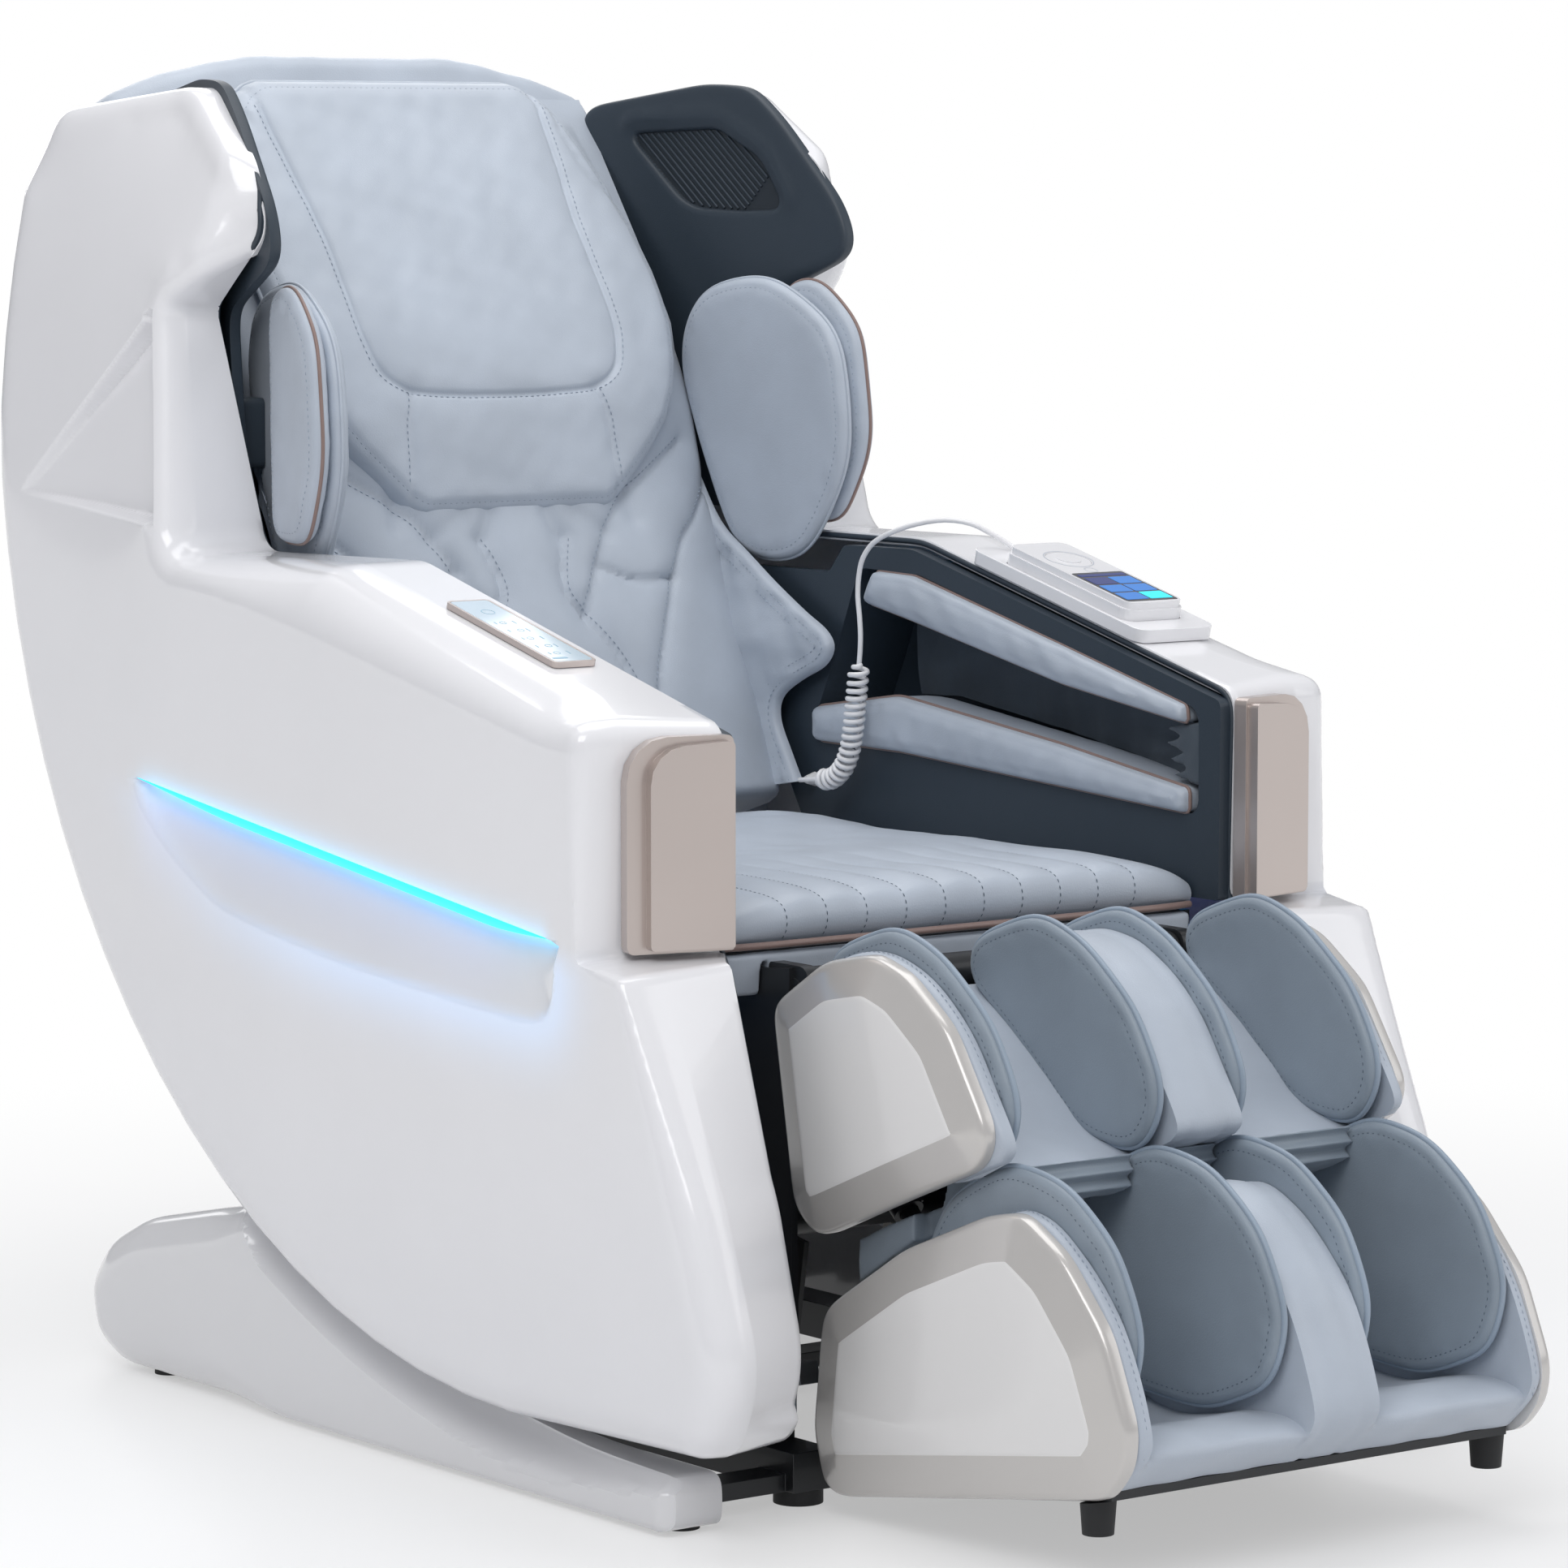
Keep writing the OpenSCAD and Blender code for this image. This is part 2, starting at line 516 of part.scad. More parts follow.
// ---- Backrest, in its own leaning frame ----
back_foot = [395, 502];
module on_back() translate([0, back_foot[0], back_foot[1]]) rotate([-back_lean, 0, 0]) children();
guide_x = 102;
guide_w = 12;
guide_y0 = 14;
guide_d = 20;
post_x = 150;
post_w = 22;
module back_frame() color(steel) on_back() {
  both() plate_x([[pad_rear + soft_gap, -36], [pad_rear + soft_gap, 398], [36.4, 475], [36.4, -36]],
      post_x, post_w);
  both() plate_x([[guide_y0, -30], [guide_y0, 425], [32, 470], [guide_y0 + guide_d, 470],
      [guide_y0 + guide_d, -30]],
                 guide_x - guide_w / 2, guide_w);
  for (z = [-36, 434]) translate([-post_x, 34.4, z]) cube([2 * post_x, 6, 40]);
  for (z = [-30, 440]) both() translate([guide_x - guide_w / 2, guide_y0 + guide_d, z]) cube([guide_w, 0.4,
      20]);
}
carriage_z = 240;
shaft_d = 14;
shaft_y = 72;
module massage_carriage() color(zinc) on_back() translate([0, 0, carriage_z]) difference() {
  union() {
    translate([-80, 84, -70]) cube([160, 8, 140]);
    both() translate([70, guide_y0 + guide_d, -70]) cube([8, 51, 140]);
    both() translate([70, guide_y0 - 4, -70]) cube([18, guide_d + 8, 140]);
    both() translate([70, guide_y0 + guide_d + slide_gap + 0.4, -70]) cube([44, 5, 140]);
    both() translate([70, guide_y0 - 5.5, -70]) cube([44, 5, 140]);
  }
  both() translate([guide_x - guide_w / 2 - slide_gap, guide_y0 - slide_gap, -80])
    cube([guide_w + 40, guide_d + 2 * slide_gap, 160]);
  rod_x(-90, 90, shaft_y, 0, shaft_d + 2 * run_gap);
}
roller_d = 46;
roller_y = 42;
module kneading_arms() color(black) on_back() translate([0, 0, carriage_z]) {
  rod_x(-77, 77, shaft_y, 0, shaft_d);
  for (s = [-1, 1]) {
    plate_x(rounded([[shaft_y + 10, -8, 5], [shaft_y + 10, 8, 5], [roller_y + 2, 66, 6], [roller_y - 8, 56, 5],
                     [shaft_y - 14, 0, 6], [roller_y - 8, -56, 5], [roller_y + 2, -66, 6]]), s * 40 - 5, 10);
    for (k = [-1, 1]) translate([s * 40, 0, 0]) rod_x(s > 0 ? -22 : 6, s > 0 ? -6 : 22, roller_y, k * 56,
        roller_d);
    for (k = [-1, 1]) translate([s * 40, 0, 0]) rod_x(s > 0 ? -6 : 5, s > 0 ? -5 : 6, roller_y, k * 56, 16);
  }
}
// Rear cover: a curved sheet tucked under the side shells' rear walls
back_shell_t = 5;
back_shell_half = 300;
back_shell_r = shell_arc_r - shell_wall - back_shell_t - 1;
module back_shell() color(slate) translate([0, shell_arc_c[0], shell_arc_c[1]]) rotate([90, 0, 90])
  rotate([0, 0, -36]) rotate_extrude(angle = 48, $fn = 180)
    translate([back_shell_r, -back_shell_half]) square([back_shell_t, 2 * back_shell_half]);

// How far the upper back and the head pad lie behind the straight lean at height z
bend_from = 315;
bend_over = 130;
bend_slope = 0.42;
function back_bend(z) = let (u = z - bend_from)
  u <= 0 ? 0 : u < bend_over ? bend_slope * u * u / (2 * bend_over) : bend_slope * (u - bend_over / 2);

// Back cushion: level slices, closer together where it folds, flat under the head pad
back_front = [[-44, -98], [60, -82], [160, -62], [260, -46], [400, -36], [560, -32], [620, -28], [646, -12]];
function back_fold(x, z) = 6 * exp(-pow((abs(x) - 24 - 0.42 * abs(z - 230)) / 14, 2));
function back_y(x, z) = let (e = abs(x) / back_half_w)
  lookup(z, back_front) + 30 * pow(e, 5) + back_fold(x, z) - 6 * (1 - e * e);
back_cols = 18;
head_foot = 236;
back_levels = [-42, -30, 10, 60, 110, 150, 190, head_foot - 5, head_foot - 1, 262, 290, 312, 340, 370, 400,
    430, 460,
               500, 545, 590, back_len - 20, back_len];
pad_rear = 6;
function back_rear(z) = max(pad_rear, back_bend(z) - 10);
function back_slice(z) = let (bent = back_bend(z), r = back_rear(z)) concat(
  [for (i = [0:back_cols]) let (x = back_half_w * (-1 + 2 * i / back_cols), y = back_y(x, z))
    [x, min((z > head_foot - 3 ? max(y, head_y) : y) + bent, r - 3), z]],
  [[back_half_w, r, z], [0, r, z], [-back_half_w, r, z]]);
// A point of the leaning frame in the chair's frame, and the cushion's rear face at height z
function leant(y, z) = back_foot + [y * cos(back_lean) + z * sin(back_lean),
    z * cos(back_lean) - y * sin(back_lean)];
function roll_front(z, r) = let (p = leant(back_rear(z) + soft_gap, z)) [p[0], p[1], r];
roll_outline = rounded([roll_front(594, 10), roll_front(back_len - 6, 12), [662, 1150, 18], [704.7, 1137, 18],
                        [702.7, 1068, 30], [652, 1050, 20]]);
module back_pad() color(leather) {
  on_back() loft([for (z = back_levels) back_slice(z)], true);
  // Rolled top behind the head
  difference() {
    loft([ring3(-262, inset(roll_outline, 12, -1)), ring3(-250, inset(roll_outline, 4, -1)),
        ring3(-120, roll_outline),
          ring3(120, roll_outline), ring3(250, inset(roll_outline, 4, -1)),
              ring3(262, inset(roll_outline, 12, -1))], true);
    both() translate([238, 500, 1000]) cube([60, 101, 200]);
  }
}

// Head pad: a flared panel over the upper back, in level slices of height, half width and share of its thickness
head_y = -34;
head_slices = [[head_foot, 96, 0.4], [240, 106, 0.7], [248, 117, 0.88], [262, 132, 0.96], [290, 160, 1],
    [312, 178, 1],
               [340, 192, 1], [370, 201, 1], [400, 207, 1], [430, 210, 1], [460, 211, 1], [500, 208, 1],
                   [545, 200, 1],
               [590, 188, 1], [back_len - 20, 173, 1], [back_len - 6, 160, 0.9], [back_len + 3, 146, 0.7],
               [back_len + 7, 134, 0.4]];
head_cols = 14;
function head_slice(p) = let (w = p[1], y0 = head_y - soft_gap + back_bend(p[0])) concat(
  [for (i = [0:head_cols]) let (e = -1 + 2 * i / head_cols)
    [w * e, y0 - head_t * p[2] * (0.4 + 0.6 * (1 - pow(abs(e), 7))), p[0]]],
  [[w, y0, p[0]], [-w, y0, p[0]]]);
module head_pad() color(leather) on_back() loft([for (p = head_slices) head_slice(p)], true);

// Shoulder pads: two leaf layers each side, flared outward to the front
shoulder_turn = 10.8;
shoulder_leaf = rounded([[44, 694, 44], [-10, 790, 90], [4, 904, 50], [90, 954, 60], [186, 938, 50],
    [202, 872, 60],
                         [172, 790, 80], [128, 693, 44]], 2);
shoulder_back_leaf = rounded([[24, 730, 16], [-12, 800, 90], [2, 906, 50], [56, 954, 40], [98, 940, 20],
                              [94, 730, 16]], 2);
shoulder_x = 258;
shoulder_y = 268;
module on_shoulder(x) translate([x, shoulder_y, 0]) rotate([0, 0, shoulder_turn]) children();
module shoulder_pads_front() color(leather) both() on_shoulder(shoulder_x) pad_x(shoulder_leaf, 0, shoulder_t);
module shoulder_pads_back() color(leather) both() on_shoulder(shoulder_x + (shoulder_t + soft_gap) /
    cos(shoulder_turn))
  pad_x(shoulder_back_leaf, 0, shoulder_t);

// Arm pads in the slot of each arm liner
upper_pad = rounded([[-222, 588, 3], [-60, 610, 80], [150, 652, 60], [216, 664, 6], [200, 692.4, 6],
    [146, 690.8, 30],
                     [-60, 642.4, 100], [-220, 603.2, 3]], 2);
lower_pad = rounded([[-226, 513.2, 4], [160, 534.7, 200], [284, 535.6, 8], [286, 566, 8], [164, 584, 80],
    [-60, 558, 100],
                     [-226, 534, 5]], 2);
module arm_pads_upper() color(leather) both() pad_x(upper_pad, seat_half_w - 12, slot_depth + 8);
module arm_pads_lower() color(leather) both() pad_x(lower_pad, seat_half_w - 14, slot_depth + 10);
// Folded fabric gusset at the slot's closed end
gusset = [[-235.6, 536], [-200, 543], [-222, 550], [-194, 556], [-220, 563], [-190, 569], [-216, 576],
    [-188, 582],
          [-235.6, 590]];
module arm_gussets() color(slate) both() plate_x(gusset, seat_half_w + 2, slot_depth - 8);

// ---- Seat cushion ----
seat_w = seat_half_w - 3;
function seat_dip(x) = 4 * pow(abs(cos(180 * seat_channels * (x / seat_w + 1) / 2)), 6);
seat_profile = [[-222, 0, 0], [-236, 0.3, 0], [-238, 0.62, 0.3], [-230, 0.88, 0.8], [-206, 1, 1],
    [-150, 1.03, 1],
                [-90, 1.02, 0.6], [-20, 1, 0], [80, 1, 0], [200, 1, 0], [278, 1, 0], [284, 0.6, 0],
                    [280, 0, 0]];
function seat_slice(x) = let (e = pow(abs(x) / seat_w, 8))
  [for (p = seat_profile) [x, p[0] * (1 - 0.01 * e), seat_top - seat_t + seat_t * p[1] * (1 - 0.3 * e)
      - p[2] * seat_dip(x)]];
seat_slices = 3 * seat_channels;
module seat_pad() color(leather) loft([for (i = [0:seat_slices]) seat_slice(seat_w * (-1 + 2 * i /
    seat_slices))]);
// Strip under the seat's front edge, notched over the side frames
module seat_apron() color(leather) difference() {
  plate_x(rounded([[-234, pan_z - 34, 4], [-226.3, pan_z - 34, 2], [-226.3, pan_z - 0.6, 1],
      [-237, pan_z - 0.6, 4]]),
          -seat_w + 6, 2 * seat_w - 12);
  both() translate([rail_x - frame_t / 2 - 0.5, -250, pan_z - 40]) cube([frame_t + 1, 40, 33]);
}

// ---- Leg rest: covers, pads and fins share these outlines ----
calf_side = [[-262, 396, 14], [-330, 438, 40], [-392, 450, 30], [-434, 438, 30], [-486, 402, 40],
    [-540, 322, 26],
             [-520, 296, 20], [-430, 260, 60], [-318, 214, 30], [-290, 240, 20]];
foot_side = [[-328, 164, 30], [-430, 226, 60], [-530, 266, 40], [-572, 274, 26], [-622, 248, 40],
    [-672, 196, 50],
             [-702, 128, 30], [-698, 98, 20], [-674, 70, 18], [-350, 16, 14], [-330, 22, 8], [-316, 66, 20]];
module leg_cover(corners) {
  o = rounded(corners, 3);
  x0 = leg_half_w - cover_t;
  loft([ring3(x0, inset(o, 2)), ring3(x0 + cover_t * 0.55, inset(o, 2)), ring3(leg_half_w - 5, inset(o, 6)),
        ring3(leg_half_w, inset(o, 30))]);
}
module calf_covers() color(white) both() leg_cover(calf_side);
module foot_covers() color(white) both() leg_cover(foot_side);

// Leg pads: slices across X that dip into a trough on each side of the middle
pad_edge = leg_half_w - cover_t - soft_gap;
fin_in = centre_half_w + fin_t + 1;
fin_out = pad_edge + soft_gap - rim_w - fin_t - 1;
trough_side = [[fin_out + fin_t + soft_gap + 0.5, 0], [fin_out + fin_t + soft_gap, 1],
    [(fin_in + fin_out) / 2, 1.06],
               [centre_half_w - soft_gap, 1], [centre_half_w - soft_gap - 0.5, 0]];
trough_stations = concat([[-pad_edge, 0]], [for (p = trough_side) [-p[0], p[1]]], [[0, -0.04]],
                         [for (i = [4:-1:0]) trough_side[i]], [[pad_edge, 0]]);
module trough_pad(ridge, trough) loft([for (s = trough_stations)
  [for (i = [0:len(ridge) - 1]) let (q = lerp(ridge[i], trough[i], s[1])) [s[0], q[0], q[1]]]]);

calf_ridge = [[-298, 386], [-299, 416], [-340, 440], [-392, 447], [-440, 432], [-486, 398], [-520, 352],
    [-541, 318],
              [-534, 304], [-474, 280], [-438, 294], [-404, 328], [-362, 361], [-326, 378]];
calf_trough = [[-298, 386], [-299, 408], [-318, 410], [-344, 403], [-376, 386], [-412, 356], [-448, 320],
    [-486, 298],
               [-500, 290], [-474, 280], [-438, 294], [-404, 328], [-362, 361], [-326, 378]];
module calf_pad() color(leather) trough_pad(calf_ridge, calf_trough);

foot_ridge = [[-400, 204], [-430, 220], [-530, 262], [-572, 270], [-620, 246], [-668, 198], [-698, 132],
    [-696, 104],
              [-668, 76.5], [-560, 58.2], [-480, 45], [-466, 90], [-432, 142], [-408, 180]];
foot_trough = [[-400, 204], [-420, 202], [-442, 182], [-470, 130], [-500, 104], [-560, 96], [-640, 112],
    [-692, 104],
               [-668, 76.5], [-560, 58.2], [-480, 45], [-466, 90], [-432, 142], [-408, 180]];
module foot_pad() color(leather) trough_pad(foot_ridge, foot_trough);

// Leaf fins stand beside the troughs
calf_leaf = rounded([[-300, 415, 8], [-300, 436, 20], [-386, 466, 40], [-440, 446, 50], [-500, 402, 50],
    [-536, 340, 30],
                     [-516, 302, 20], [-470, 318, 60], [-380, 396, 60]], 1);
foot_leaf = rounded([[-420, 208, 8], [-450, 262, 40], [-524, 300, 50], [-590, 290, 50], [-646, 250, 50],
    [-676, 190, 20],
                     [-652, 150, 20], [-560, 120, 60], [-466, 158, 60]], 1);
module leg_fins(leaf_outline) both() for (x = [centre_half_w, fin_out]) pad_x(leaf_outline, x, fin_t);
module calf_fins() color(leather_deep) leg_fins(calf_leaf);
module foot_fins() color(leather_deep) leg_fins(foot_leaf);

// Calf frame: hinge tube, arms, slide tubes and the pan under the calf pad
shin_lean = 50;
slide_x = 120;
slide_at = [-310, 236];
slide_rod_d = 16;
foot_travel = 70;
arm_x = slide_x - 16;
// Places a piece on a slide rod; its local -Z runs down the shin
module on_shin(x) translate([x, slide_at[0], slide_at[1]]) rotate([-shin_lean, 0, 0]) children();
calf_pan = [[-300, 377], [-326, 377], [-361, 360], [-403, 327], [-437, 293], [-433, 289], [-399, 322],
    [-357, 355],
            [-324, 371], [-300, 371]];
calf_arm = [[-290, 392], [-258, 392], [-240, 330], [-222, 300], [-240, 282], [-306, 226], [-318, 236],
    [-300, 300],
            [-330, 374], [-300, 376]];
// The hinge tube ends between the lugs and inside the covers
hinge_half = min(rail_x - 14, leg_half_w - 38);
module calf_frame() color(steel) difference() {
  union() {
    rod_x(-hinge_half, hinge_half, knee_y, knee_z, knee_pin_d + 16);
    both() plate_x(calf_arm, arm_x, 8);
    plate_x(calf_pan, -leg_half_w + cover_t + 6, 2 * (leg_half_w - cover_t - 6));
    both() on_shin(slide_x) translate([0, 0, -12]) cylinder(h = 112, d = slide_rod_d + 10, $fn = 48);
  }
  rod_x(-rail_x, rail_x, knee_y, knee_z, knee_pin_d + 2 * run_gap);
  both() on_shin(slide_x) translate([0, 0, -20]) cylinder(h = 140, d = slide_rod_d + 2 * slide_gap, $fn = 48);
}

// Foot frame: slide rods, side arms and the bottom pan
foot_arm = [[-366, 204], [-382, 200], [-426, 148], [-458, 92], [-474, 46], [-474, 38], [-352, 19], [-340, 60]];
// Height of the foot pan's underside at y
function pan_under(y) = 17 - (352 + y) * 51 / 312;
module foot_frame() color(steel) {
  both() on_shin(slide_x) translate([0, 0, -130]) cylinder(h = 225, d = slide_rod_d, $fn = 48);
  both() plate_x(foot_arm, slide_x + 9, 6);
  both() plate_x([[-374, 190], [-412, 146], [-404, 140], [-366, 184]], slide_x + 5, 6);
  plate_x([[-664, pan_under(-664)], [-352, pan_under(-352)], [-352, pan_under(-352) + 6],
      [-664, pan_under(-664) + 7]],
          -leg_half_w + cover_t + 4, 2 * (leg_half_w - cover_t - 4));
}
// Feet, cut to the slope of the pan that they hang from
module foot_feet() color(black) difference() {
  both() translate([197, -645, 40]) cylinder(h = 34, d1 = 24, d2 = 29, $fn = 32);
  plate_x([[-700, pan_under(-700) - 0.3], [-600, pan_under(-600) - 0.3], [-600, 140], [-700, 140]], -220, 440);
}

// Bellows between the calf and foot units
bellows_front = [[-500, 263], [-512, 269], [-504, 275], [-514, 281], [-506, 287], [-512, 294.6], [-474, 279.6],
                 [-441, 292.6]];
bellows_half = leg_half_w - 34;
module leg_bellows() color(leather_deep) difference() {
  plate_x(concat([[-345, 184], [-430, 236]], bellows_front, [[-430, 254], [-345, 218]]), -bellows_half,
      2 * bellows_half);
  translate([-150, -490, 100]) cube([300, 200, 240]);
  // Slots for the foot unit's fins
  both() for (x = [centre_half_w, fin_out]) translate([x - 1, -530, 100]) cube([fin_t + 2, 116, 240]);
}

// ---- Base ----
trough_r = shell_arc_r + 267;
trough_y = -230;
trough_low = 46;
function trough_z(y) = trough_low + trough_r - sqrt(pow(trough_r, 2) - pow(y - trough_y, 2));
trough_arc = [for (y = [262:-41:-230]) [y, trough_z(y), 0]];
runner_side = rounded(concat([[-331, foot_h, 3], [500, foot_h, 30], [549, 24, 18], [550, 86, 40],
    [498, 126, 60],
                              [352, 162, 200], [290, trough_z(290) - 7.4, 12]], trough_arc,
                                  [[-331, trough_low, 5]]), 3);
module base_runner() {
  o = runner_side;
  loft([ring3(runner_in, o), ring3(runner_half - 8, o), ring3(runner_half - 2, inset(o, 2)),
      ring3(runner_half, inset(o, 7))]);
}
module base_runner_left() color(base_grey) base_runner();
module base_runner_right() color(base_grey) mirror([1, 0, 0]) base_runner();

beam_w = 40;
beam_top = foot_h + 32;
shoe_t = 11;
shoe_spans = [[-6.5, -2.5], [12, 16]];
actuator_z = 62;
actuator_d = 44;
actuator_y0 = 76;
actuator_y1 = 470;
wheel_y = 513;
wheel_z = wheel_d / 2 + 2;
wheel_x = 246;
wheel_w = 22;
module shoe_riser(span) let (r = rail_r + shoe_t, y0 = tilt_y + r * sin(span[0]) + 2,
    y1 = tilt_y + r * sin(span[1]) - 2)
  difference() {
    translate([rail_x - 16, y0, beam_top - 2]) cube([32, y1 - y0, 90]);
    translate([0, tilt_y, tilt_z]) rotate([0, 90, 0]) cylinder(h = 400, r = r + 0.3, $fn = 180);
  }
module base_frame() color(black) difference() {
  union() {
    both() translate([rail_x - beam_w / 2, -300, foot_h]) cube([beam_w, 780, beam_top - foot_h]);
    for (y = [-290, 92, 440]) translate([-runner_in + 0.3, y, foot_h]) cube([2 * runner_in - 0.6, 34, 14]);
    translate([-rail_x, 440, foot_h]) cube([2 * rail_x, 34, actuator_z - foot_h]);
    both() for (x = [-wheel_w / 2 - 8, wheel_w / 2 + 2])
      plate_x([[470, foot_h], [470, 46], [wheel_y, 46], [wheel_y + 14, 38], [wheel_y + 14, 20],
          [wheel_y, foot_h]],
              wheel_x + x, 6);
    for (s = shoe_spans) both() shoe_riser(s);
    translate([-rail_x, 330, foot_h + 22]) cube([160, 112, 4]);
  }
  rod_y(300, 600, 0, actuator_z, actuator_d + 0.2);
  rod_x(-300, 300, wheel_y, wheel_z, axle_d + 0.02);
}
module base_feet() color(black) {
  both() for (y = [-280, 452]) translate([rail_x, y, 0]) cylinder(h = foot_h, d = 40, $fn = 40);
  both() for (y = [-300, 460]) translate([runner_in + 16, y, 0]) cylinder(h = foot_h, d = 28, $fn = 40);
}
module glide_shoes() color("#e6e4dc") both() for (s = shoe_spans) {
  tilt_arc(rail_r + slide_gap, rail_r + shoe_t, rail_x - 16, rail_x + 16, s[0], s[1]);
  for (x = [-16, rail_w / 2 + slide_gap])
    tilt_arc(rail_r - 12, rail_r + slide_gap, rail_x + x, rail_x + x + 16 - rail_w / 2 - slide_gap, s[0], s[1]);
}
inlet_x = -100;
inlet_w = 88;
switch_x = -52;
rear_y = 545;
cover_wall = 4;
module base_rear_cover() color(base_grey) difference() {
  plate_x([[300, 150], [470, 120], [528, 92], [rear_y, 66], [rear_y, 22], [rear_y - cover_wall, 22],
           [rear_y - cover_wall, 65], [525, 89], [468, 116], [300, 146]], -runner_in + 0.3,
               2 * runner_in - 0.6);
  translate([inlet_x - 25.3, rear_y - 10, 29.7]) cube([inlet_w + 0.6, 20, 30.6]);
}
module power_unit() color(zinc) translate([-170, 340, foot_h + 26.3]) cube([120, 96, 66]);
module mains_inlet() color(black) difference() {
  union() {
    translate([inlet_x - 25, rear_y - 22, 30]) cube([inlet_w, 22.5, 30]);
    translate([inlet_x - 28, rear_y + 0.3, 27]) cube([inlet_w + 6, 2.7, 36]);
  }
  translate([inlet_x - 14, rear_y - 18, 35]) cube([28, 30, 20]);
  translate([switch_x - 8.5, rear_y - 18, 34]) cube([17, 40, 22]);
  rod_x(switch_x - 12, switch_x + 12, rear_y - 7, 45, 4 + 2 * run_gap);
}
module power_switch() color("#2a2a2c") {
  plate_x([[rear_y - 12, 38.5], [rear_y + 1, 38], [rear_y + 3, 45], [rear_y + 6, 52], [rear_y - 12, 51.5]],
      switch_x - 8, 16);
  rod_x(switch_x - 11, switch_x + 11, rear_y - 7, 45, 4);
}
module wheel_axle() color(zinc) rod_x(-wheel_x - 22, wheel_x + 22, wheel_y, wheel_z, axle_d);
module transport_wheels() color(black) both() difference() {
  rod_x(wheel_x - wheel_w / 2, wheel_x + wheel_w / 2, wheel_y, wheel_z, wheel_d);
  rod_x(wheel_x - 30, wheel_x + 30, wheel_y, wheel_z, axle_d + 2 * run_gap);
}
module tilt_actuator() color(zinc) difference() {
  union() {
    rod_y(actuator_y0, actuator_y1, 0, actuator_z, actuator_d);
    translate([10, 340, 44]) cube([52, 84, 36]);
  }
  rod_y(actuator_y0 - 1, actuator_y1 - 8, 0, actuator_z, rod_d + 2 * slide_gap);
}
pin_y = tilt_y + pin_low * tan(lug_a);
module tilt_rod() color("#c8ccd0") {
  rod_y(pin_y + 8, actuator_y1 - 24, 0, actuator_z, rod_d);
  translate([-10, pin_y - 12, actuator_z - 11]) cube([20, 24, 22]);
  rod_x(-24, 24, pin_y, actuator_z, cross_pin_d);
}

base_runner_right();
base_runner_left();
base_frame();
base_feet();
base_rear_cover();
glide_shoes();
power_unit();
mains_inlet();
power_switch();
transport_wheels();
wheel_axle();
tilt_actuator();
tilt_rod();
side_shell_right();
side_shell_left();
arm_liner_right();
arm_liner_left();
wing_liner_right();
wing_liner_left();
speaker_grilles();
arm_cap_right();
arm_cap_left();
key_panel();
key_glass();
light_strips();
handset_dock();
handset();
handset_screen();
handset_key();
cord_gland();
cord_lower_lead();
cord_curl();
cord_upper_lead();
seat_frame();
arc_rails();
back_frame();
back_shell();
massage_carriage();
kneading_arms();
back_pad();
head_pad();
shoulder_pads_front();
shoulder_pads_back();
arm_pads_upper();
arm_pads_lower();
arm_gussets();
seat_pad();
seat_apron();
calf_frame();
calf_covers();
calf_pad();
calf_fins();
leg_bellows();
foot_frame();
foot_covers();
foot_pad();
foot_fins();
foot_feet();
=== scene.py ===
"""Massage chair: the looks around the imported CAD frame.

Lengths are millimetres until a mesh is made. X runs across the chair, Y from front to rear, Z up, and outlines in
two columns are y and z unless a comment says otherwise. Left is +X.
"""
import json
import math

import bpy
import bmesh
import numpy as np
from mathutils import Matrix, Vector, geometry

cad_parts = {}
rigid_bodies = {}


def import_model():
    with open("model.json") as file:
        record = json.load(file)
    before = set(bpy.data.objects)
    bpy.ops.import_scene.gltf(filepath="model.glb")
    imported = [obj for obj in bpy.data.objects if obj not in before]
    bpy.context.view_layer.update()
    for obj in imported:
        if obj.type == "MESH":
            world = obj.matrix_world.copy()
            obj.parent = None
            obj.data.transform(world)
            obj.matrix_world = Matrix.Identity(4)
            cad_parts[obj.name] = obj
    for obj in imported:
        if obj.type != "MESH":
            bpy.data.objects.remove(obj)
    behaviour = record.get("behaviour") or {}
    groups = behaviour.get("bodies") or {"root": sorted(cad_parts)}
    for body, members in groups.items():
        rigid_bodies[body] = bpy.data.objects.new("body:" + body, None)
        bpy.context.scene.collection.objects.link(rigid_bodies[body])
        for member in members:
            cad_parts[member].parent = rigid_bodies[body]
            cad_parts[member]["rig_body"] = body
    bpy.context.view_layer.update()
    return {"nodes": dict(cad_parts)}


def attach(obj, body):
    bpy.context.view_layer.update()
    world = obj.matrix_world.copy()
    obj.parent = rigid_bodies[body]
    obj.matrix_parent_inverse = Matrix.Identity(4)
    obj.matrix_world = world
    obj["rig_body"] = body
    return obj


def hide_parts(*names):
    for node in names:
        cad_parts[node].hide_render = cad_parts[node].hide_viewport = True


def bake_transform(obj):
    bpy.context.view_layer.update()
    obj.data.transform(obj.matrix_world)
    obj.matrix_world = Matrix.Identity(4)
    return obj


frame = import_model()
MM = 0.001
NODES = frame["nodes"]
A = np.array
SIDES = (("left", 1), ("right", -1))
# edges that turn by more than this many degrees stay sharp
MOULDED, SEWN = 38, 60

# ---------------------------------------------------------------- camera
IMAGE_PX = 1932
FOCAL_PX = 7497.4
SENSOR = 36.0
CAM_AT = (-3048.0, -4048.5, 1051.8)
CAM_AZ, CAM_PITCH = math.radians(-36.944), math.radians(5.83)


